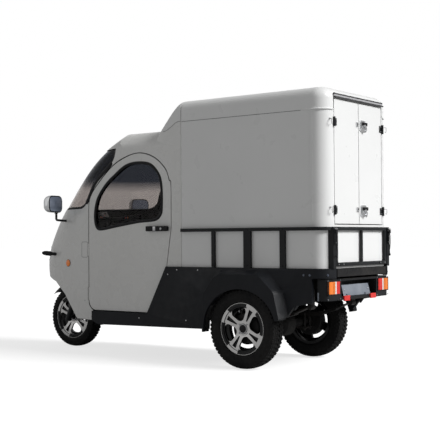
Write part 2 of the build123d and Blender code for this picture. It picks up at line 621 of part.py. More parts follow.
def leaf_spring():
    """Leaf pack from hanger to shackle, clamped to the axle tube by its U bolts."""
    z = REAR_TYRE_R + AXLE_TUBE_R + FIT
    half, sweep = LEAF_W / 2, 92
    reaches = (400, 290, 190)
    pack = None
    for i, reach in enumerate(reaches):
        rise = sweep * (reach / reaches[0]) ** 2
        z0 = z + (len(reaches) - 1 - i) * LEAF_T
        leaf = make_face(
            ThreePointArc((-reach, z0 + rise), (0, z0), (reach, z0 + rise))
            + Line((reach, z0 + rise), (reach, z0 + rise + LEAF_T))
            + ThreePointArc((reach, z0 + rise + LEAF_T), (0, z0 + LEAF_T), (-reach, z0 + rise + LEAF_T))
            + Line((-reach, z0 + rise + LEAF_T), (-reach, z0 + rise)))
        leaf = side_prism(leaf, FRAME_X - half, FRAME_X + half)
        pack = leaf if pack is None else pack + leaf
    for y in (-reaches[0], reaches[0]):
        eye = z + 2 * LEAF_T + sweep
        pack += rod((FRAME_X - half, y, eye), (FRAME_X + half, y, eye), 2 * LEAF_T)
        pack += block(FRAME_X - half, FRAME_X + half, y - 12, y + 12, eye, FRAME_HIGH_Z[0] - FIT)
    top, foot, bolt_y = z + len(reaches) * LEAF_T - 2, REAR_TYRE_R - AXLE_TUBE_R - FIT, AXLE_TUBE_R + 10
    for z0 in (top, foot - 12):
        pack += block(FRAME_X - half - 16, FRAME_X + half + 16, -bolt_y - 12, bolt_y + 12, z0, z0 + 12)
    for x in (FRAME_X - half - 8, FRAME_X + half + 8):
        for y in (-bolt_y, bolt_y):
            pack += rod((x, y, foot - 24), (x, y, top + 22), 6)
    return pack


def drive_motor():
    return Pos(-40, -(DIFF_R + MOTOR_R + FIT), REAR_TYRE_R) * Rot(0, 90, 0) * Cylinder(MOTOR_R, 190)


def battery_block():
    foot = FRAME_LOW_Z[1] - FRAME_STEP + FIT
    return block(-200, 200, SEAT_FRONT_Y + 30, CAB_REAR_Y - 80, foot, SEAT_Z - 30)


# ---- rear fittings -------------------------------------------------------------------------
def rear_bumper():
    """Channel frame that holds the lamps, hung from the ends of the side members."""
    z0, z1 = BUMPER_Z
    y1 = BOX_REAR_Y - 4
    y0 = y1 - BUMPER_DEPTH
    frame = block(-BUMPER_HALF, BUMPER_HALF, y0, y1, z0, z1)
    frame = fillet(frame.edges().filter_by(Axis.Z).sort_by(Axis.Y)[-2:], 30)
    frame -= block(-LAMP_X[0] + 22, LAMP_X[0] - 22, y0 - 1, y1 + 1, z0 + 20, z1 - 14)
    for side in (-1, 1):
        x0, x1 = sorted((side * LAMP_X[0], side * LAMP_X[1]))
        frame -= block(x0 - FIT, x1 + FIT, y1 - 34, y1 + 10, LAMP_Z[0] - FIT, LAMP_Z[1] + FIT)
    return frame


def tail_lamp():
    y1 = BOX_REAR_Y
    lamp = block(LAMP_X[0], LAMP_X[1], y1 - 38 + FIT, y1 + 4, LAMP_Z[0], LAMP_Z[1])
    return fillet(lamp.edges().filter_by(Axis.Z).sort_by(Axis.Y)[-2:], 12)


def plate_bracket():
    """Blank tilted plate under the gate, on two lugs to the bumper's lower bar."""
    plate = Pos(0, BOX_REAR_Y - 30, 508) * Rot(14, 0, 0) * fillet(
        Box(350, 4, 72).edges().filter_by(Axis.Y), 8)
    z = BUMPER_Z[0] + 20 + FIT
    lugs = [block(x - 20, x + 20, BOX_REAR_Y - 34, BOX_REAR_Y - 14, z, z + 14) for x in (-120, 120)]
    return plate + lugs[0] + lugs[1]


def rear_reflectors():
    solids = []
    y = BOX_REAR_Y - 4 + FIT
    for x in (-172, 172):
        tile = block(x - 36, x + 36, y, y + 9, BUMPER_Z[0] - 6, BUMPER_Z[0] + 26)
        solids.append(fillet(tile.edges().filter_by(Axis.Y), 5))
    return solids


# ---- nose fittings -------------------------------------------------------------------------
def mirror_unit():
    """Round-cornered head on a bent arm from the nose panel."""
    x, y, z = MIRROR_HEAD
    head = fillet(Box(180, 62, 130).edges().filter_by(Axis.Y), 44)
    head = fillet(head.faces().sort_by(Axis.Y)[0].edges(), 22)
    bend = (x - 32, y - 2, 988)
    arm = rod((x - 175, y + 40, 980), bend, 9) + rod(bend, (x - 32, y, z - 40), 9)
    arm += Pos(*bend) * Sphere(9)
    return (Pos(x, y, z) * head + arm) - cab_form(-FIT)


def front_signal():
    """Bullet shaped direction lamp on a short stalk, square to the nose."""
    root = Vector(334, FRONT_Y + 110, 732)
    out = Vector(0.6, -0.8, 0.1).normalized()
    profile = make_face(
        Polyline((0, 0), (0, 12), (50, 12), (58, 18), (92, 18), (112, 15), (125, 8), (128, 0), (0, 0)))
    body = revolve(profile, axis=Axis.X)
    tilt = Plane(origin=root - out * 20, x_dir=out, z_dir=out.cross(Vector(0, 0, 1)))
    return (tilt * body) - cab_form(-FIT)


# ---- wheels --------------------------------------------------------------------------------
def tyre(radius, width):
    """Tyre of one section, centred on the origin, with its axle along X."""
    wall, crown = width / 2, width * 0.4
    bead = RIM_WIDTH / 2 - 8
    right = [(crown * 0.45, radius), (crown, radius - 6), (wall - 2, radius - 26), (wall, radius - 50),
             (wall - 4, FLANGE_R + 12), (bead, FLANGE_R), (bead, BEAD_R + FIT), (bead - 12, BEAD_R + FIT),
             (wall - 16, FLANGE_R + 26), (crown - 10, radius - 24)]
    left = [(-x, r) for x, r in reversed(right)]
    return lathe_x(make_face(Polyline(*left, *right, close=True)))


def rim(face_x, bore):
    """Cast rim with four twin spokes; face_x is the place of the spoke face from the middle plane."""
    h = RIM_WIDTH / 2
    barrel = lathe_x(make_face(Polyline(
        (-h, FLANGE_R), (-h + 6, FLANGE_R), (-h + 8, BEAD_R), (-h + 26, BEAD_R - 2), (-8, BEAD_R - 16),
        (8, BEAD_R - 16), (h - 26, BEAD_R - 2), (h - 8, BEAD_R), (h - 6, FLANGE_R), (h, FLANGE_R),
        (h, BEAD_R - 4), (h - 24, BEAD_R - 10), (10, BEAD_R - 24), (-10, BEAD_R - 24), (-h + 24, BEAD_R - 10),
        (-h, BEAD_R - 4), close=True)))
    disc = lathe_x(make_face(Polyline(
        (face_x - 34, 0), (face_x - 34, HUB_R), (face_x - SPOKE_T, HUB_R + 14), (face_x - SPOKE_T, BEAD_R - 6),
        (face_x - 2, BEAD_R - 5), (face_x - 3, 110), (face_x - 10, HUB_R), (face_x - 10, 0), close=True)))
    window = spoke_window()
    pocket = spoke_pocket()
    for i in range(SPOKES):
        turn = 360 / SPOKES * i
        disc -= Pos(face_x - 60, 0, 0) * Rot(turn + SPOKE_TURN, 0, 0) * window
        disc -= Pos(face_x - SPOKE_T + 6, 0, 0) * Rot(turn + 45 + SPOKE_TURN, 0, 0) * pocket
    return barrel + disc - rod((-200, 0, 0), (200, 0, 0), bore)


def spoke_window():
    """Rounded opening between two twin spokes, drawn about the local Z direction."""
    outer, inner = BEAD_R - 12, HUB_R + 6
    wide = math.radians(31)
    x, z = outer * math.sin(wide), outer * math.cos(wide)
    outline = make_face(
        ThreePointArc((-x, z), (0, outer), (x, z)) + Line((x, z), (24, inner + 10))
        + ThreePointArc((24, inner + 10), (0, inner), (-24, inner + 10)) + Line((-24, inner + 10), (-x, z)))
    outline = fillet(outline.vertices().sort_by(Axis.Y)[-2:], 26)
    outline = fillet(outline.vertices().sort_by(Axis.Y)[:2], 14)
    return extrude(Plane.YZ * outline, amount=100)


def spoke_pocket():
    """Tapered pocket that splits a spoke in two."""
    near, far = HUB_R + 9, BEAD_R - 16
    outline = fillet(polygon((-4, near), (4, near), (16, far), (-16, far)).vertices(), 3)
    return extrude(Plane.YZ * outline, amount=40)


# ---- steering ------------------------------------------------------------------------------
def along_axis(distance, x=0, ahead=0):
    """Point on the steering axis, moved sideways and ahead of it."""
    p = STEER_BASE + STEER_DIR * distance + STEER_SIDE * ahead
    return (x, p.Y, p.Z)


def front_fork():
    """Two legs, crown, steering stem and axle."""
    fork = rod(along_axis(CROWN_S, 0), along_axis(BAR_S - BAR_R - FIT, 0), STEM_R)
    for side in (-1, 1):
        x = side * FORK_LEG_X
        fork += rod(along_axis(-26, x, FORK_OFFSET), along_axis(190, x, FORK_OFFSET), 24)
        fork += rod(along_axis(180, x, FORK_OFFSET), along_axis(CROWN_S + 18, x, FORK_OFFSET), UPPER_LEG_R)
    crown_plane = Plane(origin=STEER_BASE + STEER_DIR * CROWN_S, x_dir=(1, 0, 0), z_dir=STEER_DIR)
    plate = Pos(0, -FORK_OFFSET / 2, 0) * fillet(
        Box(2 * FORK_LEG_X + 50, FORK_OFFSET + 50, 26).edges().filter_by(Axis.Z), 18)
    fork += crown_plane * plate
    hub_y, hub_z = FRONT_HUB.Y, FRONT_HUB.Z
    return fork + rod((-FORK_LEG_X, hub_y, hub_z), (FORK_LEG_X, hub_y, hub_z), FRONT_AXLE_R)


def front_mudguard():
    """Crowned band over the tyre, from its front to its rear."""
    half = FORK_LEG_X - 24 - 2
    section = make_face(
        ThreePointArc((-half, MUDGUARD_R - 16), (0, MUDGUARD_R), (half, MUDGUARD_R - 16))
        + Line((half, MUDGUARD_R - 16), (half, MUDGUARD_R - 20))
        + ThreePointArc((half, MUDGUARD_R - 20), (0, MUDGUARD_R - 4), (-half, MUDGUARD_R - 20))
        + Line((-half, MUDGUARD_R - 20), (-half, MUDGUARD_R - 16)))
    band = revolve(Plane.XY * section, axis=Axis.X, revolution_arc=150)
    band = Pos(FRONT_HUB.X, FRONT_HUB.Y, FRONT_HUB.Z) * Rot(-12, 0, 0) * band
    for side in (-1, 1):
        band += rod(along_axis(MUDGUARD_R - 18, side * (half - 4), FORK_OFFSET),
                    along_axis(MUDGUARD_R - 18, side * (FORK_LEG_X - UPPER_LEG_R - FIT), FORK_OFFSET), 8)
    return band


def handlebar():
    """Bar with two forward bends and a clamp on the stem."""
    top = along_axis(BAR_S)
    half = BAR_HALF
    bar = rod((-half * 0.35, top[1], top[2]), (half * 0.35, top[1], top[2]), 12)
    for side in (-1, 1):
        bar += rod((side * half * 0.35, top[1], top[2]), (side * half, top[1] + 50, top[2] + 20), 12)
        grip_from = (side * half * 0.62, top[1] + 20.8, top[2] + 8.3)
        bar += rod(grip_from, (side * half, top[1] + 50, top[2] + 20), 17)
    return bar


def build():
    os.makedirs("parts", exist_ok=True)
    nose, upper = nose_and_upper_cab()
    save("nose_panel", nose)
    save("upper_cab", upper)
    save("windscreen", windscreen())
    save_pair("headlamp", headlamp())
    save_pair("cab_door", cab_door())
    save_pair("door_glass", door_glass())
    save_pair("door_handle", door_handle())
    save("floor_pan", floor_pan())
    save("seat_cushion", seat_cushion())
    save("seat_back", seat_back())
    save("dashboard", dashboard())
    save("roof_fairing", roof_fairing())
    save("roof_cap", roof_cap())
    save_pair("box_side", box_side())
    save("box_front_wall", box_front_wall())
    save("box_floor", box_floor())
    save("rear_sill_panel", rear_sill_panel())
    save_pair("cargo_door", cargo_door())
    left_hinges = cargo_hinge_leaves()
    save("cargo_hinges_left", *left_hinges)
    save("cargo_hinges_right", *[mirrored(s) for s in left_hinges])
    save("cargo_latches", *cargo_latches())
    save("drip_rail", drip_rail())
    save_pair("side_rail", side_rail())
    save("tailgate", tailgate())
    save_pair("gate_latch", gate_latch())
    save_pair("lower_panel", lower_panel())
    save("chassis_frame", chassis_frame())
    save("cargo_deck", cargo_deck())
    save("rear_axle", rear_axle())
    save_pair("leaf_spring", leaf_spring())
    save("drive_motor", drive_motor())
    save("battery_block", battery_block())
    save("rear_bumper", rear_bumper())
    save_pair("tail_lamp", tail_lamp())
    save("plate_bracket", plate_bracket())
    save("rear_reflectors", *rear_reflectors())
    save_pair("mirror", mirror_unit())
    save_pair("front_signal", front_signal())
    rear_tyre = Pos(TRACK_HALF, 0, REAR_TYRE_R) * tyre(REAR_TYRE_R, REAR_TYRE_W)
    rear_rim = Pos(TRACK_HALF, 0, REAR_TYRE_R) * rim(RIM_WIDTH / 2 - 4, REAR_STUB_R + RUN)
    save_pair("rear_tyre", rear_tyre)
    save_pair("rear_rim", rear_rim)
    hub = Pos(FRONT_HUB.X, FRONT_HUB.Y, FRONT_HUB.Z)
    save("front_tyre", hub * tyre(FRONT_TYRE_R, FRONT_TYRE_W))
    save("front_rim", hub * rim(RIM_WIDTH / 2 - 4, FRONT_AXLE_R + RUN))
    save("front_fork", front_fork())
    save("front_mudguard", front_mudguard())
    save("handlebar", handlebar())


build()
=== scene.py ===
"""Looks of the electric cargo tricycle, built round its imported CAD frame.

Metres in the frame's axes: +X the vehicle's left, -Y its front, +Z up. P() takes millimetres with Y
measured from the rear axle, as the CAD does, and outlines of (y, z) points are in the same millimetres.
"""
import math
from functools import partial

import bmesh
import bpy
import numpy as np
from mathutils import Matrix, Vector
from mathutils.bvhtree import BVHTree


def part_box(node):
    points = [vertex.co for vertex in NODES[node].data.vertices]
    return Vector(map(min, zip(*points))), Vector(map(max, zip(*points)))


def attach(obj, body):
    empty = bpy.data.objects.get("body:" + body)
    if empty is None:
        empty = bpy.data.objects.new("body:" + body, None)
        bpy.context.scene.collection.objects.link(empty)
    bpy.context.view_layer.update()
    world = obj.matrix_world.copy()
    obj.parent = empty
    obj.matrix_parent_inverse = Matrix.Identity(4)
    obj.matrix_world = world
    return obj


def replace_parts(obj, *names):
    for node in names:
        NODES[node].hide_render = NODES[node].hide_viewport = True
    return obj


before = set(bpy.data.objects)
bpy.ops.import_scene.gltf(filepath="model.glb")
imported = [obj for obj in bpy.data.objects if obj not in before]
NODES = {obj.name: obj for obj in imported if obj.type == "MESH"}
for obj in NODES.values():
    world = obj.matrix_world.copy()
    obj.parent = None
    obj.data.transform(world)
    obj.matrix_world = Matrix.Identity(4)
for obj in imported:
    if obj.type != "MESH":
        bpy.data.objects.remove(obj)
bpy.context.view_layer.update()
SCENE = bpy.context.scene
BACK, UP = Vector((0, 1, 0)), Vector((0, 0, 1))
SIDES = ((1, "left"), (-1, "right"))


def middle(node):
    low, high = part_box(node)
    return (low + high) / 2


REAR_HUB = middle("rear_tyre_left")
FRONT_HUB = middle("front_tyre")


def P(x, y, z):
    return Vector((x / 1000, y / 1000 + REAR_HUB.y, z / 1000))


def circle(count):
    """Cosines and sines of even steps round a full turn."""
    return [(math.cos(a), math.sin(a)) for a in (2 * math.pi * i / count for i in range(count))]


def linked(name, data):
    """New object in the scene."""
    thing = bpy.data.objects.new(name, data)
    SCENE.collection.objects.link(thing)
    return thing


# ---- materials -----------------------------------------------------------------------------
def put(socket, value):
    """Give a socket a link or a constant."""
    if isinstance(value, bpy.types.NodeSocket):
        socket.id_data.links.new(value, socket)
    else:
        socket.default_value = value


def node(tree, kind, *values, **settings):
    """Shader node with its attributes set and its first inputs filled."""
    made = tree.nodes.new("ShaderNode" + kind)
    for key, value in settings.items():
        setattr(made, key, value)
    for socket, value in zip(made.inputs, values):
        put(socket, value)
    return made


def maths(tree, operation, *values):
    return node(tree, "Math", *values, operation=operation).outputs[0]


def vectors(tree, operation, *values):
    return node(tree, "VectorMath", *values, operation=operation).outputs


def seen(tree, output):
    """Object is the shaded point on its piece at rest, and Normal is the direction that it faces there."""
    return node(tree, "TexCoord").outputs[output]


def place(tree, centre=(0, 0, 0)):
    """x, y and z of the shaded point, from a centre."""
    return node(tree, "SeparateXYZ", vectors(tree, "SUBTRACT", seen(tree, "Object"), centre)[0]).outputs


def noise(tree, scale, detail, stretch):
    mapping = node(tree, "Mapping", seen(tree, "Object"))
    put(mapping.inputs["Scale"], stretch)
    made = node(tree, "TexNoise")
    for socket, value in (("Vector", mapping.outputs[0]), ("Scale", scale), ("Detail", detail)):
        put(made.inputs[socket], value)
    return made.outputs[0]


def ramp(tree, source, low, high):
    """Colour between low and high over the middle of a noise; low and high are (place, colour)."""
    made = node(tree, "ValToRGB", source)
    for element, (spot, colour) in zip(made.color_ramp.elements, (low, high)):
        element.position, element.color = spot, (*colour, 1)
    return made.outputs[0]


def surface(name, low, high, rough, patch=2.5, grain=900, bump=0.15, depth=0.4, metallic=0.0, specular=0.5,
            coat=0.0, stretch=(1, 1, 1), transmission=0.0, ior=1.45, glow=0.0):
    """Shader with a slow change of colour, a change of gloss and a relief depth millimetres deep.

    patch and grain are the scales of the noises, and rough holds the least and the greatest roughness.
    """
    material = bpy.data.materials.new(name)
    material.use_nodes = True
    tree = material.node_tree
    shader = tree.nodes["Principled BSDF"].inputs
    least, greatest = rough
    gloss = noise(tree, patch * 6, 3, stretch)  # six times as fine as the change of colour
    values = {"Base Color": ramp(tree, noise(tree, patch, 4, stretch), (0.32, low), (0.68, high)),
              "Roughness": ramp(tree, gloss, (0.3, (least,) * 3), (0.7, (greatest,) * 3)),
              "Metallic": metallic, "Specular IOR Level": specular, "IOR": ior, "Coat Weight": coat,
              "Coat Roughness": 0.06, "Transmission Weight": transmission}
    # glow is painted light: the surface gives off a faint light of its own high colour
    if glow:
        values.update({"Emission Color": (*high, 1), "Emission Strength": glow})
    if bump:
        relief = node(tree, "Bump")
        for socket, value in (("Strength", bump), ("Distance", depth / 1000),
                              ("Height", noise(tree, grain, 2, stretch))):
            put(relief.inputs[socket], value)
        values["Normal"] = relief.outputs[0]
    for socket, value in values.items():
        put(shader[socket], value)
    return material


def recolour(material, mask, colour, rough=None):
    """Paint colour over a material's own where mask is 1."""
    tree = material.node_tree
    shader = tree.nodes["Principled BSDF"].inputs
    for socket, value in (("Base Color", colour), ("Roughness", rough and (rough,) * 3)):
        if value is None:
            continue
        mix = node(tree, "Mix", mask, data_type="RGBA")
        put(mix.inputs[6], shader[socket].links[0].from_socket)
        put(mix.inputs[7], (*value, 1))
        put(shader[socket], mix.outputs[2])
    return material


# name, low and high colour, roughness, patch, grain, bump and its depth in millimetres
PAINT = surface("white_paint", (0.755, 0.755, 0.735), (0.80, 0.80, 0.785), (0.22, 0.34), 1.6, bump=0,
                coat=0.35)
BOX_PAINT = surface("box_paint", (0.81, 0.815, 0.81), (0.85, 0.855, 0.85), (0.26, 0.38), 1.3, bump=0,
                    coat=0.25)
PANEL_BLACK = surface("panel_black", (0.004, 0.005, 0.007), (0.008, 0.0095, 0.013), (0.42, 0.58), 3, 1400,
                      0.25, 0.3, specular=0.28)
STEEL_BLACK = surface("steel_black", (0.006, 0.007, 0.008), (0.013, 0.014, 0.016), (0.34, 0.52), 6, 1100, 0.2,
                      0.3, specular=0.3)
CHASSIS = surface("chassis_paint", (0.008, 0.008, 0.009), (0.022, 0.021, 0.020), (0.45, 0.7), 9, 500, 0.35,
                  0.6, specular=0.25)
RUBBER = surface("seal_rubber", (0.005, 0.005, 0.006), (0.010, 0.010, 0.011), (0.5, 0.66), 12, 1600, 0.3, 0.2,
                 specular=0.3)
TYRE = surface("tyre_rubber", (0.006, 0.006, 0.0065), (0.016, 0.0155, 0.015), (0.62, 0.85), 9, 700, 0.4,
               specular=0.22)
GRAIN_PLASTIC = surface("grained_plastic", (0.010, 0.010, 0.011), (0.022, 0.022, 0.024), (0.5, 0.68), 7, 950,
                        0.45, specular=0.3)
# grey plastic, also used for a painted shadow line under the roof cap's lip
GREY_PLASTIC_AND_SHADOW_LINE = surface("grey_plastic_and_painted_shadow", (0.10, 0.105, 0.11), (0.15, 0.155, 0.16), (0.45, 0.6), 8, 900, 0.3,
                       0.3)
FLOOR_MAT = surface("floor_mat", (0.012, 0.012, 0.013), (0.03, 0.03, 0.031), (0.6, 0.85), 14, 380, 0.5, 1.0,
                    specular=0.25)
VINYL = surface("seat_vinyl", (0.011, 0.011, 0.012), (0.024, 0.024, 0.026), (0.42, 0.58), 5, 520, 0.5, 0.5,
                specular=0.35)
CHROME = surface("chrome", (0.74, 0.75, 0.76), (0.86, 0.87, 0.88), (0.05, 0.14), 18, 900, 0.03, 0.2, 1.0)
BOLT_STEEL = surface("bolt_steel", (0.42, 0.42, 0.43), (0.62, 0.62, 0.63), (0.25, 0.42), 30, 1500, 0.15,
                     0.2, 1.0)
SPRING = surface("spring_steel", (0.014, 0.014, 0.015), (0.045, 0.04, 0.036), (0.42, 0.62), 14, 700, 0.3, 0.5,
                 0.4, stretch=(1, 0.25, 1))
MOTOR = surface("motor_shell", (0.05, 0.055, 0.06), (0.10, 0.105, 0.112), (0.4, 0.6), 8, 420, 0.4, 0.6, 0.7)
# bare plate finish, also used for a painted edge highlight beside each tail lamp
PLATE_AND_EDGE_HIGHLIGHT = surface("bare_plate_and_painted_highlight", (0.20, 0.225, 0.265), (0.28, 0.305, 0.345), (0.34, 0.5), 10, 800, 0.2, 0.3, 0.3)
BLUED = surface("blued_bracket", (0.085, 0.10, 0.135), (0.14, 0.155, 0.19), (0.3, 0.45), 10, 900, 0.15,
                0.3, 0.3)
PLYWOOD = surface("sealed_board", (0.20, 0.14, 0.085), (0.36, 0.26, 0.16), (0.45, 0.65), 2.2, 300, 0.3,
                  stretch=(9, 0.7, 1))
# the amber lenses glow faintly though their lamps are unlit: painted light
AMBER = surface("amber_lens", (0.80, 0.17, 0.015), (0.93, 0.24, 0.03), (0.08, 0.16), 20, 260, 0.35, 1.0,
                coat=0.5, glow=0.08)
RED = ((0.60, 0.018, 0.014), (0.78, 0.03, 0.022))
# the red lenses glow faintly on the reflectors, the dial needle and the grip switch: painted light
RED_LENS = surface("red_lens", *RED, (0.08, 0.16), 20, 320, 0.35, 1.0, coat=0.5, glow=0.05)
LAMP_GLASS = surface("lamp_glass", (0.82, 0.86, 0.88), (0.92, 0.94, 0.95), (0.03, 0.08), 12, 120, 0.3, 1.0,
                     transmission=0.7)
pane = partial(surface, rough=(0.01, 0.03), patch=3, grain=40, bump=0.02, depth=0.5, transmission=1.0,
               ior=1.16)
SCREEN_GLASS = pane("screen_glass", (0.47, 0.44, 0.43), (0.55, 0.51, 0.49))
DOOR_GLASS = pane("door_glass", (0.40, 0.385, 0.375), (0.46, 0.44, 0.43))
# mirror glass that reflects only in part: its pale bluish grey colour is a painted reflection of the sky
MIRROR_WITH_PAINTED_SKY = surface("mirror_glass", (0.22, 0.27, 0.36), (0.33, 0.38, 0.48), (0.10, 0.16), 9, 60, 0.02,
                 metallic=0.45)
MACHINED = surface("machined_alloy", (0.50, 0.50, 0.51), (0.62, 0.62, 0.63), (0.2, 0.32), 20, 900, 0.1,
                   0.2, 0.6)
CLUSTER = surface("dial_glass", (0.012, 0.016, 0.02), (0.02, 0.026, 0.032), (0.04, 0.09), 14, 90, 0.03,
                  coat=0.6)


def tail_lens():
    """Three fields side by side: amber at the outside, clear, then red."""
    material = surface("tail_lens", *RED, (0.08, 0.16), 20, 260, 0.35, 1.0, coat=0.5)
    tree = material.node_tree
    across = maths(tree, "ABSOLUTE", place(tree)[0])
    low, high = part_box("tail_lamp_left")
    for share, colour in ((0.37, (0.80, 0.76, 0.73)), (0.50, (0.88, 0.21, 0.02))):
        recolour(material, maths(tree, "GREATER_THAN", across, low.x + (high.x - low.x) * share), colour)
    return material


def striped_gutter():
    """Dark rubber gutter with a pale metal lip along its middle."""
    lip = 0.009, 0.019  # metres over its lower edge
    material = surface("gutter", (0.03, 0.03, 0.032), (0.06, 0.06, 0.062), (0.3, 0.5), 9, 600, 0.2)
    op = partial(maths, material.node_tree)
    height = op("SUBTRACT", place(material.node_tree)[2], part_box("drip_rail")[0].z)
    band = op("MULTIPLY", op("GREATER_THAN", height, lip[0]), op("LESS_THAN", height, lip[1]))
    return recolour(material, band, (0.42, 0.42, 0.43))


SPOKES, FIRST_SPOKE, SPOKE_WIDTH = 4, 60, 0.42  # how many, degrees of the first, cosine at a spoke's edge
HUB, SPOKE_FOOT, LIP = 0.034, 0.1365, 0.1655  # radii: bare hub, where the gaps begin, where the lip begins
FACE, SLOPE, FLAT_FROM = 0.0304, 0.109, 0.112  # the face leans outwards up to a radius, then is flat
CUT_DEPTH, SQUARE = 0.0022, 0.8  # how far behind the face the cut goes, and how square to the axle it lies


def wheel_finish(name, hub, side):
    """Machined spoke faces and lip on a gloss black casting."""
    material = surface(name, (0.005, 0.005, 0.006), (0.010, 0.010, 0.011), (0.14, 0.26), 16, 500, 0.12, 0.3,
                       specular=0.4)
    tree = material.node_tree
    op = partial(maths, tree)
    x, y, z = place(tree, hub)
    outward = op("MULTIPLY", x, side)
    radius = op("SQRT", op("ADD", op("MULTIPLY", y, y), op("MULTIPLY", z, z)))
    face = op("ADD", op("MULTIPLY", op("MINIMUM", radius, FLAT_FROM), SLOPE), FACE)
    on_face = op("GREATER_THAN", outward, op("SUBTRACT", face, CUT_DEPTH))
    normal = node(tree, "SeparateXYZ", seen(tree, "Normal")).outputs[0]
    facing = op("GREATER_THAN", op("MULTIPLY", normal, side), SQUARE)
    spokes = op("MULTIPLY", op("MULTIPLY", on_face, facing), op("GREATER_THAN", radius, HUB))
    turn = op("ARCTAN2", op("MULTIPLY", y, -1), z)
    wave = op("COSINE", op("SUBTRACT", op("MULTIPLY", turn, SPOKES), math.radians(SPOKES * FIRST_SPOKE)))
    on_spoke = op("MAXIMUM", op("GREATER_THAN", wave, SPOKE_WIDTH), op("LESS_THAN", radius, SPOKE_FOOT))
    lip = op("MULTIPLY", op("GREATER_THAN", radius, LIP), op("GREATER_THAN", outward, 0.0))
    mask = op("MAXIMUM", op("MULTIPLY", spokes, on_spoke), lip)
    put(tree.nodes["Principled BSDF"].inputs["Metallic"], op("MULTIPLY", mask, 0.75))
    return recolour(material, mask, (0.74, 0.73, 0.72), 0.24)


def lined(material):
    """Dark lining on the faces that look towards the middle of the cab."""
    tree = material.node_tree
    cab_middle = P(0, -1000, 880)
    away = vectors(tree, "SUBTRACT", seen(tree, "Object"), cab_middle)[0]
    facing = vectors(tree, "DOT_PRODUCT", vectors(tree, "NORMALIZE", away)[0], seen(tree, "Normal"))["Value"]
    return recolour(material, maths(tree, "LESS_THAN", facing, -0.22), (0.016, 0.016, 0.018), 0.7)


def banded_screen():
    """Dark sun band along the clear screen's top: it starts at a height and is full 1/12 m above it."""
    start, steepness = 1.215, 12
    op = partial(maths, SCREEN_GLASS.node_tree)
    height = op("MULTIPLY", op("SUBTRACT", place(SCREEN_GLASS.node_tree)[2], start), steepness)
    return recolour(SCREEN_GLASS, op("MINIMUM", op("MAXIMUM", height, 0.0), 1.0), (0.035, 0.042, 0.058))


lined(PAINT)
banded_screen()
# CAD nodes that a piece below stands for aren't shown, so they need no finish
FINISH = {
    PAINT: ["nose_panel", "upper_cab", "cab_door_*"],
    BOX_PAINT: ["roof_fairing", "roof_cap", "box_side_*", "box_front_wall", "rear_sill_panel",
                "cargo_door_*"],
    PANEL_BLACK: ["front_mudguard"],
    STEEL_BLACK: ["side_rail_*", "tailgate", "gate_latch_*", "cargo_hinges_*", "rear_bumper", "front_fork"],
    CHASSIS: ["chassis_frame", "cargo_deck", "rear_axle"],
    RUBBER: ["door_handle_*"],
    GRAIN_PLASTIC: ["dashboard", "front_signal_*", "handlebar"],
    FLOOR_MAT: ["floor_pan"],
    CHROME: ["cargo_latches"],
    SPRING: ["leaf_spring_*"],
    MOTOR: ["drive_motor"],
    GREY_PLASTIC_AND_SHADOW_LINE: ["battery_block"],
    PLATE_AND_EDGE_HIGHLIGHT: ["plate_bracket"],
    PLYWOOD: ["box_floor"],
    RED_LENS: ["rear_reflectors"],
    LAMP_GLASS: ["headlamp_*"],
    SCREEN_GLASS: ["windscreen"],
    DOOR_GLASS: ["door_glass_*"],
    tail_lens(): ["tail_lamp_*"],
    striped_gutter(): ["drip_rail"],
    wheel_finish("rim_rear_left", REAR_HUB, 1): ["rear_rim_left"],
    wheel_finish("rim_rear_right", middle("rear_tyre_right"), -1): ["rear_rim_right"],
    wheel_finish("rim_front", FRONT_HUB, 1): ["front_rim"],
}
for finish, patterns in FINISH.items():
    for name, thing in NODES.items():
        if any(name == p or (p.endswith("*") and name.startswith(p[:-1])) for p in patterns):
            thing.data.materials.clear()
            thing.data.materials.append(finish)


# ---- mesh making ---------------------------------------------------------------------------
def edited(mesh, operation, kind, **settings):
    """Run a bmesh operation on all of a mesh's faces or verts."""
    work = bmesh.new()
    work.from_mesh(mesh)
    operation(work, **{kind: list(getattr(work, kind))}, **settings)
    work.to_mesh(mesh)
    work.free()


def shade(mesh, angle):
    """Smooth shading, with edges sharper than an angle in degrees kept."""
    mesh.polygons.foreach_set("use_smooth", [True] * len(mesh.polygons))
    mesh.set_sharp_from_angle(angle=math.radians(angle))


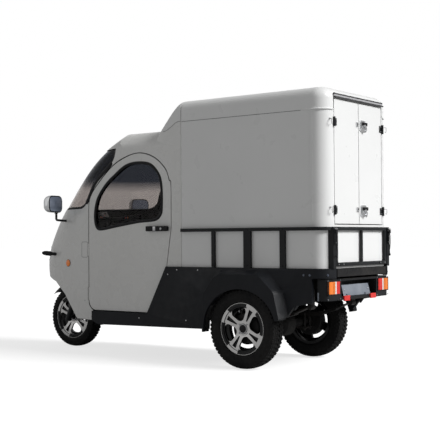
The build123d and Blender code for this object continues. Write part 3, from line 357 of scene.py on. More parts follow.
class Piece:
    """A mesh put together from parts, each with a finish of its own."""

    def __init__(self, name):
        self.name, self.verts, self.faces, self.marks, self.finishes = name, [], [], [], []

    def add(self, verts, faces, finish):
        if finish not in self.finishes:
            self.finishes.append(finish)
        base = len(self.verts)
        self.verts += [tuple(v) for v in verts]
        self.faces += [[base + i for i in f] for f in faces]
        self.marks += [self.finishes.index(finish)] * len(faces)

    def rings(self, rings, finish, closed=False):
        """Skin through rings of the same number of points, with both ends capped unless closed."""
        n, verts, faces = len(rings[0]), [v for r in rings for v in r], []
        for i in range(len(rings) if closed else len(rings) - 1):
            a, b = i * n, (i + 1) % len(rings) * n
            faces += [[a + j, a + (j + 1) % n, b + (j + 1) % n, b + j] for j in range(n)]
        if not closed:
            faces += [list(range(n))[::-1], [len(verts) - n + j for j in range(n)]]
        self.add(verts, faces, finish)

    def lathe(self, profile, origin, axis, finish, segments=32):
        """Turn (along, radius) points in millimetres about an axis; a radius of 0.1 closes an end."""
        axis = Vector(axis).normalized()
        side = axis.orthogonal().normalized()
        up = axis.cross(side)
        self.rings([[origin + axis * (along / 1000) + (side * c + up * s) * (radius / 1000)
                     for c, s in circle(segments)] for along, radius in profile], finish)

    def tube(self, points, radius, finish, segments=10, closed=False):
        """Round rod in millimetres of radius along points in metres."""
        points = [Vector(p) for p in points]
        n, rings, side = len(points), [], None
        for i, p in enumerate(points):
            a = points[(i - 1) % n] if closed or i else p
            b = points[(i + 1) % n] if closed or i < n - 1 else p
            along = (b - a).normalized()
            side = along.orthogonal() if side is None else side - along * side.dot(along)
            side.normalize()
            up = along.cross(side)
            rings.append([p + (side * c + up * s) * (radius / 1000) for c, s in circle(segments)])
        self.rings(rings, finish, closed)

    def box(self, centre, size, finish, bevel=1.0, turn=None, segments=2):
        """Block with rounded edges; size and bevel in millimetres."""
        mesh = bmesh.new()
        bmesh.ops.create_cube(mesh, size=1)
        bmesh.ops.scale(mesh, vec=Vector(size) / 1000, verts=mesh.verts)
        bmesh.ops.bevel(mesh, geom=list(mesh.edges), offset=bevel / 1000, segments=segments, profile=0.6,
                        affect="EDGES")
        spin = turn.to_4x4() if turn else Matrix.Identity(4)
        bmesh.ops.transform(mesh, matrix=Matrix.Translation(centre) @ spin, verts=mesh.verts)
        mesh.verts.index_update()
        self.add([v.co.copy() for v in mesh.verts], [[v.index for v in f.verts] for f in mesh.faces], finish)
        mesh.free()

    def bolt(self, spot, normal, finish, radius, height):
        """Hexagon head on a washer."""
        self.lathe([(0, 0.1), (0, radius * 1.5), (1.2, radius * 1.5), (1.2, 0.1)], spot, normal, finish, 20)
        self.lathe([(1.2, 0.1), (1.2, radius), (height, radius), (height + 1, radius * 0.85),
                    (height + 1, 0.1)], spot, normal, finish, 6)

    def screw(self, spot, normal, finish, radius):
        """Domed head."""
        self.lathe([(0, 0.1), (0, radius), (1.4, radius * 0.86), (2.4, radius * 0.5), (2.6, 0.1)], spot,
                   normal, finish, 16)

    def build(self, body, angle=35):
        mesh = bpy.data.meshes.new(self.name)
        mesh.from_pydata(self.verts, [], self.faces)
        for finish in self.finishes:
            mesh.materials.append(finish)
        mesh.polygons.foreach_set("material_index", self.marks)
        mesh.update()
        edited(mesh, bmesh.ops.recalc_face_normals, "faces")
        shade(mesh, angle)
        thing = linked(self.name, mesh)
        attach(thing, body)
        return thing


def surface_tree(*names):
    """Search tree over the skin of CAD nodes."""
    verts, faces = [], []
    for name in names:
        mesh = NODES[name].data
        faces += [[len(verts) + i for i in p.vertices] for p in mesh.polygons]
        verts += [v.co.copy() for v in mesh.vertices]
    return BVHTree.FromPolygons(verts, faces)


INNER, EDGE_ON = 0.12, 0.08  # a hit nearer the middle, or with less normal across, isn't the outer skin


def on_side(tree, side, y, z):
    """Point and outward normal where a line from the side meets the skin; a gap is passed over."""
    for reach in (0, 3, 6, 10, 16):
        for dy, dz in ((1, 0), (-1, 0), (0, 1), (0, -1)) if reach else ((0, 0),):
            start = P(side * 900, y + dy * reach, z + dz * reach)
            spot, normal = tree.ray_cast(start, Vector((-side, 0, 0)))[:2]
            if spot is not None and spot.x * side > INNER and abs(normal.x) > EDGE_ON:
                return Vector((spot.x, P(0, y, z).y, z / 1000)), (normal if normal.x * side > 0 else -normal)
    raise ValueError(f"nothing at {y}, {z}")


def on_line(tree, start, inwards):
    """Point and outward normal where a line meets the skin, or None twice."""
    spot, normal = tree.ray_cast(start, inwards)[:2]
    return spot, (normal if normal is None or normal.dot(inwards) < 0 else -normal)


def around(tree, angle, z):
    """Point and normal of the nose's skin in a direction from straight ahead, in degrees."""
    a = math.radians(angle)
    out = Vector((math.sin(a), -math.cos(a), 0))
    return on_line(tree, P(0, -1450, z) + out * 2, -out)


def smooth(points, count, closed=False):
    """Even points along a rounded curve through a few (y, z) points."""
    n, pieces, fine = len(points), 24, []
    for i in range(n if closed else n - 1):
        near = ((i + k) % n if closed else min(max(i + k, 0), n - 1) for k in (-1, 0, 1, 2))
        p = [Vector(points[k]) for k in near]
        for t in (j / pieces for j in range(pieces)):
            fine.append(0.5 * (2 * p[1] + (p[2] - p[0]) * t + (2 * p[0] - 5 * p[1] + 4 * p[2] - p[3]) * t * t
                               + (3 * p[1] - p[0] - 3 * p[2] + p[3]) * t ** 3))
    fine.append(Vector(points[0] if closed else points[-1]))
    steps = [0.0]
    for a, b in zip(fine, fine[1:]):
        steps.append(steps[-1] + (b - a).length)
    at = np.linspace(0, steps[-1], count, endpoint=not closed)
    return list(zip(*(np.interp(at, steps, [q[k] for q in fine]).tolist() for k in (0, 1))))


def eased(points, closed, rounds=3):
    """Points with small steps between facets taken out."""
    points = [p.copy() for p in points]
    n = len(points)
    for _ in range(rounds):
        old = [p.copy() for p in points]
        for i in range(0 if closed else 1, n if closed else n - 1):
            points[i] = (old[i - 1] + old[i] * 2 + old[(i + 1) % n]) / 4
    return points


def skin_path(tree, side, outline, closed=False):
    """Points and outward normals where an outline drawn in (y, z) meets the skin."""
    spots, normals = zip(*(on_side(tree, side, y, z) for y, z in outline))
    return eased(spots, closed), [v.normalized() for v in eased(normals, closed, 8)]


def moulding(piece, path, profile, finish, closed=False, outwards=1):
    """Strip of constant section along a path; profile is (sideways, off the skin) in millimetres."""
    spots, normals = path
    n, rings = len(spots), []
    for i, p in enumerate(spots):
        ahead = spots[(i + 1) % n] if closed or i < n - 1 else p
        behind = spots[i - 1] if closed or i else p
        along = (ahead - behind).normalized()
        up = (normals[i] - along * normals[i].dot(along)).normalized()
        out = along.cross(up) * outwards
        rings.append([p + out * (a / 1000) + up * (b / 1000) for a, b in profile])
    piece.rings(rings, finish, closed)


def rounded(y0, z0, y1, z1, radius, steps=6):
    """Closed outline of a rectangle with round corners."""
    points = []
    for cy, cz, turn in ((y1 - radius, z1 - radius, 0), (y0 + radius, z1 - radius, 90),
                         (y0 + radius, z0 + radius, 180), (y1 - radius, z0 + radius, 270)):
        for i in range(steps + 1):
            a = math.radians(turn + 90 * i / steps)
            points.append((cy + radius * math.cos(a), cz + radius * math.sin(a)))
    return points


CORNER = (315, 509)  # x and y of the axis of the cargo box's rear corner


def on_corner(side, radius, z, angles):
    """Points round the box's rear corner; 0 degrees is on its side and 90 on its back."""
    return [P(side * (CORNER[0] + radius * math.cos(a)), CORNER[1] + radius * math.sin(a), z)
            for a in map(math.radians, angles)]


# ---- camera, lights and floor --------------------------------------------------------------
def make_camera():
    """The photograph's camera: its lens and turn were solved with the size."""
    yaw, pitch, roll = 0.9306, 0.0177, -0.0070
    focal, width, sensor = 1009.7, 440, 36  # focal length and width in the picture's units, sensor in mm
    ahead = Vector((-math.sin(yaw) * math.cos(pitch), -math.cos(yaw) * math.cos(pitch), math.sin(pitch)))
    right = ahead.cross(UP).normalized()
    up = right.cross(ahead)
    right, up = right * math.cos(roll) + up * math.sin(roll), up * math.cos(roll) - right * math.sin(roll)
    camera = linked("camera", bpy.data.cameras.new("camera"))
    camera.data.sensor_width = sensor
    camera.data.lens = focal / width * sensor
    turn = Matrix((right, up, -ahead)).transposed().to_4x4()
    eye = P(5753.2, 3772.6, 846.4)
    camera.matrix_world = Matrix.Translation(eye) @ turn
    SCENE.camera = camera


def lamp(name, towards, strength, angle):
    sun = bpy.data.lights.new(name, "SUN")
    sun.energy, sun.angle = strength, math.radians(angle)
    thing = linked(name, sun)
    thing.rotation_mode = "QUATERNION"
    thing.rotation_quaternion = Vector(towards).to_track_quat("Z", "Y")


def make_stage():
    """White all round and under: it lights softly, shines a little in reflections and looks plain white."""
    SCENE.view_settings.view_transform = "Standard"
    SCENE.world = bpy.data.worlds.new("studio")
    SCENE.world.use_nodes = True
    tree = SCENE.world.node_tree
    tree.nodes.clear()
    path = node(tree, "LightPath").outputs
    light, glossy, plain = (node(tree, "Background", (1, 1, 1, 1), strength).outputs[0]
                            for strength in (0.17, 0.42, 1.0))
    unseen = node(tree, "MixShader", path["Is Glossy Ray"], light, glossy).outputs[0]
    looked_at = maths(tree, "MAXIMUM", path["Is Camera Ray"], path["Is Transmission Ray"])
    node(tree, "OutputWorld", node(tree, "MixShader", looked_at, unseen, plain).outputs[0])
    lamp("key", (-0.16, 0.82, 0.55), 3.55, 24)
    lamp("fill", (0.55, -0.62, 0.45), 0.16, 60)
    mesh = bpy.data.meshes.new("floor")
    mesh.from_pydata([(-60, -60, 0), (60, -60, 0), (60, 60, 0), (-60, 60, 0)], [], [(0, 1, 2, 3)])
    material = bpy.data.materials.new("floor")
    material.use_nodes = True
    tree = material.node_tree
    shader = tree.nodes["Principled BSDF"].inputs
    camera_ray = node(tree, "LightPath").outputs["Is Camera Ray"]
    for socket, value in (("Base Color", (0.45, 0.45, 0.45, 1)), ("Roughness", 0.9),
                          ("Specular IOR Level", 0.0), ("Emission Color", (1, 1, 1, 1)),
                          ("Emission Strength", maths(tree, "MULTIPLY", camera_ray, 0.72))):
        put(shader[socket], value)
    mesh.materials.append(material)
    linked("floor", mesh)


make_camera()
make_stage()


# ---- tyres ---------------------------------------------------------------------------------
BEAD, FLANGE, SEAT, GROOVE = 42, 168, 152.3, 7.0  # half width at the rim, its two radii, depth of the tread


def make_tyre(name, part, body, pitches):
    """Carcass with shoulder lugs, a ribbed side and two zigzag rows of tread blocks."""
    low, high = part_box(part)
    hub = (low + high) / 2
    radius, half = (high.z - low.z) / 2 * 1000, (high.x - low.x) / 2 * 1000
    crown = half * 0.80
    deep = radius - GROOVE
    outline = [(BEAD - 14, SEAT), (BEAD, SEAT), (BEAD, FLANGE), (half - 6, FLANGE + 6),
               (half - 2.5, FLANGE + 14), (half - 1.2, FLANGE + 20), (half - 2.4, FLANGE + 22),
               (half - 0.4, radius - 50), (half - 0.6, radius - 40), (half - 4, radius - 26),
               (crown + 7, deep - 9), (crown, deep - 4), (crown * 0.5, deep - 0.6), (0, deep)]
    profile = outline + [(-x, r) for x, r in reversed(outline[:-1])]
    piece = Piece(name)
    piece.rings([[hub + Vector((x, r * c, r * s)) / 1000 for x, r in profile]
                 for c, s in circle(pitches * 2)], TYRE, closed=True)

    def spot(x, r, turn):
        a = 2 * math.pi * turn / pitches
        return hub + Vector((x, r * math.cos(a), r * math.sin(a))) / 1000

    def top_at(x):
        t = abs(x) / crown
        return radius - 0.3 - 5.5 * t * t

    def lug(corners):
        """Block from (x, turn) corners, its top on the crown curve and its foot sunk in the carcass."""
        cx, ct = (sum(c[k] for c in corners) / len(corners) for k in (0, 1))
        foot = [spot(x, top_at(x) - GROOVE - 5, t) for x, t in corners]
        waist = [spot(x, top_at(x) - 1.2, t) for x, t in corners]
        top = [spot(cx + (x - cx) * 0.93, top_at(x), ct + (t - ct) * 0.93) for x, t in corners]
        piece.rings([foot, waist, top], TYRE)

    def four(near, far, turns):
        return zip((near, far, far, near), turns)

    for i in range(pitches):
        for side, t in ((-1, i + 0.5), (1, i)):
            for near, far, turns in ((3, half * 0.36, (0.06, 0.22, 0.78, 0.60)),
                                     (half * 0.42, half * 0.70, (0.30, 0.14, 0.72, 0.86))):
                lug([(side * x, t + turn) for x, turn in four(near, far, turns)])
            turns = (0.16, 0.10, 0.66, 0.74)
            shoulder = [(side * x, t + turn) for x, turn in four(half * 0.76, crown + 6, turns)]
            drops = (0, 1.8, 1.8, 0)
            piece.rings([[spot(x, top_at(x) - GROOVE - 8, turn) for x, turn in shoulder],
                         [spot(x, top_at(x) - drop, turn) for (x, turn), drop in zip(shoulder, drops)]], TYRE)
            turns = (0.12, 0.18, 0.56, 0.64)
            inner = (crown - 4, radius - 20), (half - 9, radius - 38)
            wall = (crown + 3, radius - 12), (half - 0.2, radius - 34)
            piece.rings([[spot(side * x, r, t + turn) for (x, r), turn in four(*ends, turns)]
                         for ends in (inner, wall)], TYRE)
    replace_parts(piece.build(body, 28), part)


for side, word in SIDES:
    make_tyre(f"tread_tyre_rear_{word}", f"rear_tyre_{word}", f"rear_wheel_{word}", 56)
make_tyre("tread_tyre_front", "front_tyre", "front_wheel", 52)


# ---- wheel trim ----------------------------------------------------------------------------
def wheel_trim(name, hub, side, body):
    """Centre cap with a bright ring, nuts in their pockets and a valve."""
    piece = Piece(name)
    axis = Vector((side, 0, 0))
    cap = hub + axis * 0.0362
    piece.lathe([(-1, 0.1), (-1, 31), (3, 31), (4.5, 28.5), (3.4, 26), (3.0, 24)], cap, axis, MACHINED, 48)
    piece.lathe([(0, 0.1), (0, 24.5), (4.0, 24), (6.0, 19), (7.0, 11), (7.4, 0.1)], cap, axis, RUBBER, 48)
    for i in range(4):
        a = math.pi / 2 * i + math.pi / 4
        piece.lathe([(-2, 0.1), (-2, 6.2), (1.5, 6.2), (1.5, 4.6), (5, 4.6), (6.2, 3.2), (6.2, 0.1)],
                    cap + Vector((0, math.cos(a), math.sin(a))) * 0.0395, axis, BOLT_STEEL, 12)
    a = math.radians(100)
    rod = Vector((0, math.cos(a), math.sin(a)))
    foot = hub + axis * 0.030 + rod * 0.150
    piece.tube([foot, foot + axis * 0.010 - rod * 0.010, foot + axis * 0.018 - rod * 0.032], 3.4, RUBBER)
    piece.tube([foot + axis * 0.018 - rod * 0.031, foot + axis * 0.020 - rod * 0.040], 2.4, CHROME)
    piece.build(body)


for side, word in SIDES:
    wheel_trim(f"wheel_trim_rear_{word}", middle(f"rear_tyre_{word}"), side, f"rear_wheel_{word}")
wheel_trim("wheel_trim_front", FRONT_HUB, 1, "front_wheel")

# ---- seals round the glass -----------------------------------------------------------------
WINDOW = [(-1331, 998), (-1324, 1070), (-1297, 1144), (-1222, 1232), (-1131, 1298), (-1060, 1344),
          (-994, 1367), (-905, 1373), (-817, 1360), (-761, 1319), (-723, 1264), (-709, 1184), (-709, 1048),
          (-722, 1008), (-771, 978), (-929, 968), (-1100, 944), (-1271, 918), (-1315, 934)]
WINDOW_MIDDLE = (-1010, 1140)
SCREEN_EDGE = [(-1512, 1067), (-1478, 1075), (-1440, 1093), (-1412, 1128), (-1392, 1164), (-1366, 1214),
               (-1328, 1263), (-1270, 1311), (-1214, 1353), (-1176, 1386), (-1153, 1420), (-1147, 1462),
               (-1147, 1488)]
SEAL = [(-11, -10), (-11, -2), (-7, 3.4), (0, 5.2), (7, 4.2), (11, 1.0), (11, -0.6), (2, -1), (2, -10)]
PILLAR = [(-16, -7), (-16, 1), (-12, 4.4), (-2, 5.4), (9, 4.2), (16, 0.8), (16, -1), (0, -2)]
SEAL_CENTRE = 6  # how far the seal's middle lies outside the window's edge
cab = surface_tree("cab_door_left", "cab_door_right", "upper_cab", "nose_panel", "windscreen",
                   "lower_panel_left", "lower_panel_right")
window = []
for y, z in smooth(WINDOW, 200, closed=True):
    dy, dz = y - WINDOW_MIDDLE[0], z - WINDOW_MIDDLE[1]
    away = math.hypot(dy, dz)
    window.append((y + SEAL_CENTRE * dy / away, z + SEAL_CENTRE * dz / away))
for side, word in SIDES:
    piece = Piece(f"window_seal_{word}")
    moulding(piece, skin_path(cab, side, window, True), SEAL, RUBBER, True, side)
    piece.build(f"cab_door_{word}", 50)
    piece = Piece(f"screen_seal_{word}")
    moulding(piece, skin_path(cab, side, smooth(SCREEN_EDGE, 120)), PILLAR, RUBBER, False, side)
    piece.build("vehicle", 50)
piece = Piece("screen_seal_front")
for z, reach in ((1067, 80), (1489, 84)):
    found = [around(cab, a, z) for a in range(-reach, reach + 1, 4)]
    spots, normals = zip(*(f for f in found if f[0] is not None))
    moulding(piece, (eased(spots, False), normals), PILLAR, RUBBER)
piece.build("vehicle", 50)

# ---- cushions ------------------------------------------------------------------------------
SLACK, REACH = 0.010, 0.022  # how much smaller the pad starts, and how far a point of it may move
MARGIN = 0.0004  # the pad stays this far inside the CAD's cushion
PRESSURE, MOMENTS = 4, 20  # of the cloth that is blown up, and how long it takes
SEAM, SEAM_DEPTH = 0.016, 0.085  # half width of a sewn channel, and its depth as a share of the way in


def evaluated(thing):
    """Mesh of an object with its modifiers applied."""
    bpy.context.view_layer.update()
    return bpy.data.meshes.new_from_object(thing.evaluated_get(bpy.context.evaluated_depsgraph_get()))


def cushion(name, part, channels, across):
    """Stuffed pad blown up as cloth, then sewn: channels are the places of the seams along an axis."""
    low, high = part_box(part)
    centre = (low + high) / 2
    mesh = bpy.data.meshes.new(name)
    work = bmesh.new()
    bmesh.ops.create_cube(work, size=1)
    bmesh.ops.scale(work, vec=high - low - Vector((SLACK,) * 3) * 2, verts=work.verts)
    bmesh.ops.bevel(work, geom=list(work.edges), offset=0.030, segments=4, profile=0.5, affect="EDGES")
    bmesh.ops.translate(work, vec=centre, verts=work.verts)
    work.to_mesh(mesh)
    work.free()
    thing = linked(name, mesh)

    def settle():
        solid = evaluated(thing)
        thing.modifiers.clear()
        thing.data = solid

    voxel = thing.modifiers.new("even", "REMESH")
    voxel.mode, voxel.voxel_size = "VOXEL", 0.006
    settle()
    rest = [v.co.copy() for v in thing.data.vertices]
    settings = thing.modifiers.new("cloth", "CLOTH").settings
    settings.use_pressure = True
    settings.uniform_pressure_force = PRESSURE
    settings.effector_weights.gravity = 0
    settings.quality = 4
    for moment in range(1, MOMENTS + 1):
        SCENE.frame_set(moment)
    settle()
    SCENE.frame_set(1)
    for vertex, start in zip(thing.data.vertices, rest):
        move = vertex.co - start
        if move.length > REACH:
            vertex.co = start + move * (REACH / move.length)
        for k in range(3):
            vertex.co[k] = min(max(vertex.co[k], low[k] + MARGIN), high[k] - MARGIN)
    thing.modifiers.new("finer", "SUBSURF").levels = 1
    settle()
    axis = "xyz".index(across)
    for vertex in thing.data.vertices:
        inwards = centre - vertex.co
        for spot in channels:
            gap = abs(vertex.co[axis] - centre[axis] - spot)
            if gap < SEAM:
                vertex.co += inwards * (SEAM_DEPTH * (1 - gap / SEAM) ** 2)
    thing.data.materials.clear()
    thing.data.materials.append(VINYL)
    thing.data.polygons.foreach_set("use_smooth", [True] * len(thing.data.polygons))
    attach(thing, "vehicle")
    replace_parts(thing, part)


cushion("padded_seat", "seat_cushion", (-0.135, 0.0, 0.135), "x")
cushion("padded_seat_back", "seat_back", (-0.11, 0.0, 0.11), "z")

# ---- nose ----------------------------------------------------------------------------------
BEAD_LINE = [(-3, -1), (-3, 1.5), (0, 3), (3, 1.5), (3, -1)]
FLAP_LINE = [(-1.3, -1), (-1.3, 0.5), (1.3, 0.5), (1.3, -1)]
nose = surface_tree("nose_panel", "headlamp_left", "headlamp_right")
flap = smooth(rounded(-1475, 712, -1411, 824, 12), 90, closed=True)
for side, word in SIDES:
    piece = Piece(f"nose_fittings_{word}")
    spot, normal = on_side(cab, side, -1633, 667)
    piece.lathe([(-1, 0.1), (-1, 27), (2.5, 27), (3.2, 25.5), (3.2, 24.8)], spot, normal, RUBBER, 40)
    piece.lathe([(1, 0.1), (1, 25), (4.6, 24), (6.4, 19), (7.2, 9), (7.4, 0.1)], spot, normal, AMBER, 40)
    moulding(piece, skin_path(cab, side, flap, True), FLAP_LINE, GREY_PLASTIC_AND_SHADOW_LINE, True, side)
    for y, z in ((-1443, 396), (-1378, 284)):
        piece.screw(*on_side(cab, side, y, z), BOLT_STEEL, 5)
    ring = zip(*(on_line(nose, P(side * 205 + 77 * c, -2600, 735 + 54 * s), BACK) for c, s in circle(72)))
    moulding(piece, [eased(r, True) for r in ring], BEAD_LINE, CHROME, True)
    piece.build("vehicle", 40)

# ---- mirrors -------------------------------------------------------------------------------
MIRROR_FACE = Vector((475, -1677, 1105))
MIRROR_TURN = math.radians(12)


def mirror_ring(side, wide, tall, radius, depth):
    """Round-cornered outline of a mirror head, parallel to its glass and depth behind the shell's rim."""
    across = Vector((math.cos(MIRROR_TURN), math.sin(MIRROR_TURN), 0))
    normal = Vector((-math.sin(MIRROR_TURN), math.cos(MIRROR_TURN), 0))
    ring = []
    for a, b in rounded(-wide, -tall, wide, tall, radius, 8):
        spot = MIRROR_FACE + across * a + normal * depth + Vector((0, 0, b))
        ring.append(P(side * spot.x, spot.y, spot.z))
    return ring


for side, word in SIDES:
    ring = partial(mirror_ring, side)
    piece = Piece(f"mirror_head_{word}")
    shell = []
    for t in (step / 14 for step in range(15)):
        scale = (1 - 0.93 * t ** 2.6) ** 0.5
        shell.append(ring(87 * scale, 63 * scale, 42 * scale, -2 - 80 * t))
    piece.rings(shell, CHROME)
    piece.rings([ring(85, 61, 40, -4), ring(85, 61, 40, 0.5), ring(80, 56, 35, 1.6), ring(78, 54, 33, -1)],
                RUBBER)
    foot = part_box(f"mirror_{word}")[0 if side > 0 else 1].x * 1000 - side * 4
    arm = (425, -1702, 986.5), (438, -1704, 988), (443, -1705, 995), (443, -1705, 1058)
    piece.tube([P(foot, -1692.5, 982)] + [P(side * x, y, z) for x, y, z in arm], 8.5, GRAIN_PLASTIC, 14)
    piece.lathe([(0, 0.1), (0, 15), (4, 14), (7, 10), (7, 0.1)], P(side * 443, -1705, 1037), UP,
                GRAIN_PLASTIC, 24)
    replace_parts(piece.build("vehicle", 40), f"mirror_{word}")
    piece = Piece(f"mirror_glass_{word}")
    piece.rings([ring(78, 54, 33, -0.5), ring(78, 54, 33, 0.8), ring(76.5, 52.5, 32, 1.1)], MIRROR_WITH_PAINTED_SKY)
    piece.build("vehicle", 30)

# ---- cab doors -----------------------------------------------------------------------------
for side, word in SIDES:
    piece = Piece(f"door_fittings_{word}")
    face = 441.3 * side
    piece.box(P(face, -752.5, 913), (2.4, 23, 29), BOLT_STEEL)
    piece.lathe([(-1, 0.1), (-1, 8), (2, 8), (2.6, 7), (2.6, 2.4), (1.4, 2.2), (1.4, 0.1)],
                P(face, -693, 912), Vector((side, 0, 0)), BOLT_STEEL, 24)
    piece.build(f"cab_door_{word}")


# ---- lower panels, rails, body seams and a painted shadow line -----------------------------
def panel_edge(side, offset, z):
    """Points along the lower panel's side and round its rear corner, offset outwards."""
    straight = [P(side * (432 + offset), 440 + 69 * i / 4, z) for i in range(4)]
    return straight + on_corner(side, 117 + offset, z, range(0, 79, 6))


fairing_skin = surface_tree("upper_cab", "roof_fairing")
FAIRING_SEAM = [(-745, 1590), (-700, 1581), (-660, 1586), (-610, 1612), (-566, 1639), (-536, 1642)]
for side, word in SIDES:
    piece = Piece(f"side_fittings_{word}")
    out = Vector((side, 0, 0))
    for y, z in ((-902, 291), (-483, 292), (-640, 600), (-560, 632), (-380, 632)):
        piece.screw(*on_side(cab, side, y, z), BOLT_STEEL, 5)
    for y in (-253, 22, 293):
        for z in (899, 668):
            piece.bolt(P(side * 432.2, y, z), out, STEEL_BLACK, 4.2, 3)
    band = (panel_edge(side, offset, z) for offset, z in ((0.2, 596), (1.9, 596), (1.9, 648), (0.2, 648)))
    piece.rings(list(zip(*band)), PANEL_BLACK)
    for y in (452, 496):
        piece.bolt(P(side * 434, y, 612), out, BLUED, 5, 4)
    a = math.radians(50)
    turned = Vector((side * math.cos(a), math.sin(a), 0))
    piece.bolt(*on_corner(side, 119, 612, (50,)), turned, BLUED, 5, 4)
    piece.build("vehicle")

    piece = Piece(f"box_trim_{word}")
    bead = [P(side * 415.5, y, 1641) for y in (430, 450, 480)]
    piece.tube(bead + on_corner(side, 100.5, 1641, range(0, 85, 6)), 4.5, BOX_PAINT, 12)
    for y in (487, 508):
        piece.box(P(side * 412.4, y, 1274), (1.4, 3.0, 722), BOX_PAINT, 0.5)
    piece.build("vehicle")
for side, word in SIDES:
    piece = Piece(f"seams_and_painted_shadow_{word}")
    # painted shadow: a thin dark grey line along the roof cap's lower lip, where its overhang would cast a
    # shadow
    cap_shadow_line = [P(side * 412.2, y, 1638.6) for y in (*range(-524, 487, 60), 487)]
    piece.tube(cap_shadow_line + on_corner(side, 97.6, 1638.6, range(0, 85, 7)), 1.5, GREY_PLASTIC_AND_SHADOW_LINE, 6)
    piece.tube(skin_path(fairing_skin, side, smooth(FAIRING_SEAM, 26))[0], 1.3, GREY_PLASTIC_AND_SHADOW_LINE, 6)
    piece.box(P(side * 408.5, -530, 1146), (7, 5.4, 984), BOX_PAINT, 0.8)
    piece.build("vehicle")


# ---- wheel flares --------------------------------------------------------------------------
def trimmed(part, name, outline, x0, x1):
    """Copy of a CAD node with a prism cut away, its outline in (y, z) and its ends at x0 and x1."""
    n = len(outline)
    prism = bpy.data.meshes.new("cutter")
    prism.from_pydata([P(x, y, z) for x in sorted((x0, x1)) for y, z in outline], [],
                      [list(range(n)), list(range(2 * n - 1, n - 1, -1))]
                      + [[i, i + n, (i + 1) % n + n, (i + 1) % n] for i in range(n)])
    edited(prism, bmesh.ops.recalc_face_normals, "faces")
    source = NODES[part].data.copy()
    edited(source, bmesh.ops.remove_doubles, "verts", dist=0.00001)
    cutter, panel = linked("cutter", prism), linked("panel", source)
    cut = panel.modifiers.new("cut", "BOOLEAN")
    cut.operation, cut.object, cut.solver = "DIFFERENCE", cutter, "EXACT"
    mesh = evaluated(panel)
    for thing in (cutter, panel):
        bpy.data.objects.remove(thing)
    mesh.name = name
    mesh.materials.clear()
    mesh.materials.append(PANEL_BLACK)
    mesh.polygons.foreach_set("material_index", [0] * len(mesh.polygons))
    shade(mesh, 13)
    return linked(name, mesh)


FLARE_CUT = [(200, 200), (200, 340), (226, 325), (290, 325), (304, 329), (316, 338), (330, 354), (378, 414),
             (378, 200)]
for side, word in SIDES:
    panel = trimmed(f"lower_panel_{word}", f"skirt_{word}", FLARE_CUT, side * 300, side * 520)
    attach(panel, "vehicle")
    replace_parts(panel, f"lower_panel_{word}")

# ---- cargo doors ---------------------------------------------------------------------------
LATCHES = (1015, 1564)  # heights of the two latches, and of the hooks and hinges level with them
PADDLE = ((-1, 0, 0), (-0.7, 1, 1), (0.7, 1, 1), (1, 0, 0), (0.7, -1, -1), (-0.7, -1, -1))


def beside(side, x, z):
    """Function that gives points by their x and z from a place, mirrored on the right side."""
    return lambda dx, y, dz: P(side * (x + dx), y, z + dz)


for z in LATCHES:
    piece = Piece(f"cargo_lever_{z}")
    piece.box(P(-51, 624.5, z + 12), (66, 9, 22), STEEL_BLACK, 4)
    piece.lathe([(0, 0.1), (0, 9), (5, 9.5), (9, 7), (10, 0.1)], P(-30, 626, z + 13), BACK, RUBBER, 24)
    piece.lathe([(0, 0.1), (0, 7), (3, 7), (3, 2.5), (2, 2.2), (2, 0.1)], P(-66, 626, z + 13), BACK, CHROME,
                20)
    paddle = []
    for t in (i / 8 for i in range(9)):
        wide, drop, out = 17 * (1 - 0.62 * t), 46 * t, 7 + 7 * math.sin(math.pi * t)
        mid = P(-44 - 15 * t, 619 + out, z + 6 - drop)
        paddle.append([mid + Vector((a * wide, b * 3.0, c * 2)) / 1000 for a, b, c in PADDLE])
    piece.rings(paddle, CHROME)
    for x in (-80, -22):
        for dz in (-27, 27):
            piece.screw(P(x, 612, z + dz), BACK, BOLT_STEEL, 3.6)
    piece.build("cargo_door_right")
    piece = Piece(f"cargo_keeper_{z}")
    piece.box(P(22, 609.2, z + 6), (26, 5.6, 30), CHROME, 2)
    for dz in (14, -2):
        piece.screw(P(22, 612, z + dz), BACK, BOLT_STEEL, 3)
    piece.build("cargo_door_left")
for side, word in SIDES:
    piece = Piece(f"door_hooks_{word}")
    for z in LATCHES:
        at = beside(side, 352, z)
        piece.tube([at(0, 601, 16), at(0, 613, 16), at(9, 618, 15), at(10, 618, -6), at(3, 617, -18),
                    at(-5, 615, -14)], 2.1, BOLT_STEEL, 8)
        piece.lathe([(0, 0.1), (0, 6), (2, 6), (2.6, 4), (2.6, 0.1)], at(0, 600.2, 16), BACK, BOLT_STEEL, 16)
    piece.build("vehicle")
    piece = Piece(f"hinge_screws_{word}")
    for z in LATCHES:
        for x in (291, 304):
            for dz in (-15, 15):
                piece.screw(P(side * x, 610.1, z + dz), BACK, BOLT_STEEL, 2.8)
    piece.build(f"cargo_door_{word}")

# ---- tailgate ------------------------------------------------------------------------------
for side, word in SIDES:
    piece = Piece(f"gate_catch_{word}")
    at = beside(side, 353, 910)
    piece.tube([at(0, 640.4, -26), at(7, 641, -60), at(8, 641, -104), at(0, 641, -148), at(-7, 640, -108),
                at(-6, 640, -62)], 2.6, STEEL_BLACK, 8, closed=True)
    piece.tube([at(-9, 637, -8), at(-9, 643.5, -14), at(9, 643.5, -14), at(9, 637, -8)], 2.4, BOLT_STEEL, 8)
    piece.tube([at(0, 638, -128), at(0, 640, -178)], 3.2, STEEL_BLACK)
    piece.lathe([(0, 0.1), (0, 6.5), (12, 6.5), (14, 4), (14, 0.1)], at(0, 640, -176), -UP, STEEL_BLACK, 16)
    for dz in (-24, -98):
        piece.bolt(at(-8, 634.2, dz), BACK, BOLT_STEEL, 3, 2)
    piece.build("vehicle")
    piece = Piece(f"gate_bolts_{word}")
    for x in (244, 304):
        piece.bolt(P(side * x, 627.2, 677), BACK, BOLT_STEEL, 4.6, 3.5)
    piece.box(P(side * 274, 628.2, 677), (84, 2.4, 16), STEEL_BLACK)
    piece.build("tailgate")

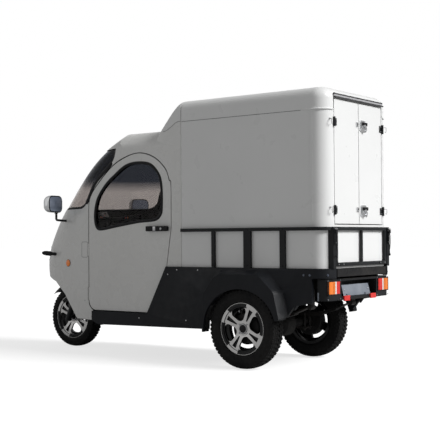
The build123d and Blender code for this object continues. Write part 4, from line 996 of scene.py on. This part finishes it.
# ---- bumper and lamps ----------------------------------------------------------------------
for side, word in SIDES:
    piece = Piece(f"lamp_bezel_{word}")
    low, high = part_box(f"tail_lamp_{word}")
    wide, tall = (high.x - low.x) * 1000, (high.z - low.z) * 1000

    def by_lamp(dx, y, dz):
        return Vector(((low.x + high.x) / 2 + dx / 1000, P(0, y, 0).y, (low.z + high.z) / 2 + dz / 1000))

    for way in (-1, 1):
        piece.box(by_lamp(0, 603.4, way * (tall / 2 + 3.6)), (wide + 14, 7, 6), STEEL_BLACK, 2)
    for way in (-1, 1):
        piece.box(by_lamp(way * (wide / 2 + 3.6), 603.4, 0), (6, 7, tall + 2), STEEL_BLACK, 2)
    for share in (0.13, 0.0):
        piece.box(by_lamp(side * share * wide, 610.2, 0), (2.2, 1.2, tall - 8), RUBBER, 0.5)
    for x in (244, 392):
        for z in (462, 576):
            piece.bolt(P(side * x, 602.2, z), BACK, BOLT_STEEL, 3.2, 2.4)
    # a thin pale strip of plate finish on the panel's rear edge: a painted highlight of that edge
    piece.box(P(side * 401.2, 536, 478), (2.4, 11, 52), PLATE_AND_EDGE_HIGHLIGHT, 0.8)
    piece.build("vehicle")
piece = Piece("bumper_bars")
for z in (454, 584):
    piece.box(P(0, 603.0, z), (560, 4, 5), CHASSIS)
PLATE_TILT = 0.244
for x in (-150, 150):
    piece.screw(P(x, 579, 512), Vector((0, math.cos(PLATE_TILT), math.sin(PLATE_TILT))), BOLT_STEEL, 4)
piece.build("vehicle")

# ---- inside the cab ------------------------------------------------------------------------
bar_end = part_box("handlebar")[1] - Vector((0.0047, 0.0165, 0.0168))
for side, word in SIDES:
    piece = Piece(f"grip_{word}")
    tip = Vector((side * bar_end.x, bar_end.y, bar_end.z))
    axis = Vector((-side * 185.25, -50, -20)).normalized()
    ribs = [(-1.5, 0.1), (-1.5, 17.2), (4, 18.4)]
    for i in range(14):
        ribs += [(6 + i * 7.5, 18.3), (10 + i * 7.5, 17.4)]
    piece.lathe(ribs + [(114, 19.5), (118, 19.5), (118, 0.1)], tip, axis, RUBBER, 28)
    piece.box(tip + axis * 0.148, (42, 40, 36), GRAIN_PLASTIC, 6, axis.to_track_quat("X", "Z").to_matrix())
    root = tip + axis * 0.135 + Vector((0, -0.020, 0))
    lever = ((0, 0, 0), (0.02, -0.026, -0.004), (0.07, -0.040, -0.008), (0.122, -0.034, -0.008))
    piece.tube([root + Vector((side * x, y, z)) for x, y, z in lever], 4.2, CHROME)
    for i, finish in enumerate((AMBER, GREY_PLASTIC_AND_SHADOW_LINE, RED_LENS)):
        piece.box(tip + axis * (0.137 + 0.011 * i) + Vector((0, 0.0205, 0.004)), (7, 3, 12), finish)
    piece.build("steering")
cluster = P(0, -1694, 1014)
piece = Piece("instrument_cluster")
tilt = Matrix.Rotation(math.radians(28), 3, "X")
piece.box(cluster, (230, 34, 96), GRAIN_PLASTIC, 12, tilt, 3)
piece.box(cluster + tilt @ Vector((0, 0.0172, 0.002)), (196, 2.5, 72), CLUSTER, 1, tilt)
for x in (-0.06, 0.06):
    dial = cluster + tilt @ Vector((x, 0.0184, 0.002))
    piece.lathe([(0, 30), (2.4, 30), (2.4, 27.5), (0, 27.5)], dial, tilt @ BACK, CHROME, 36)
    piece.box(dial + tilt @ Vector((0.006, 0.0016, 0.004)), (24, 1, 2), RED_LENS, 0.3,
              tilt @ Matrix.Rotation(0.6, 3, "Y"))
piece.build("vehicle")
piece = Piece("pedal")
piece.box(P(90, -1478, 392), (70, 12, 96), RUBBER, 4, Matrix.Rotation(math.radians(38), 3, "X"))
piece.tube([P(90, -1484, 400), P(90, -1512, 470)], 7, CHASSIS)
piece.build("vehicle")
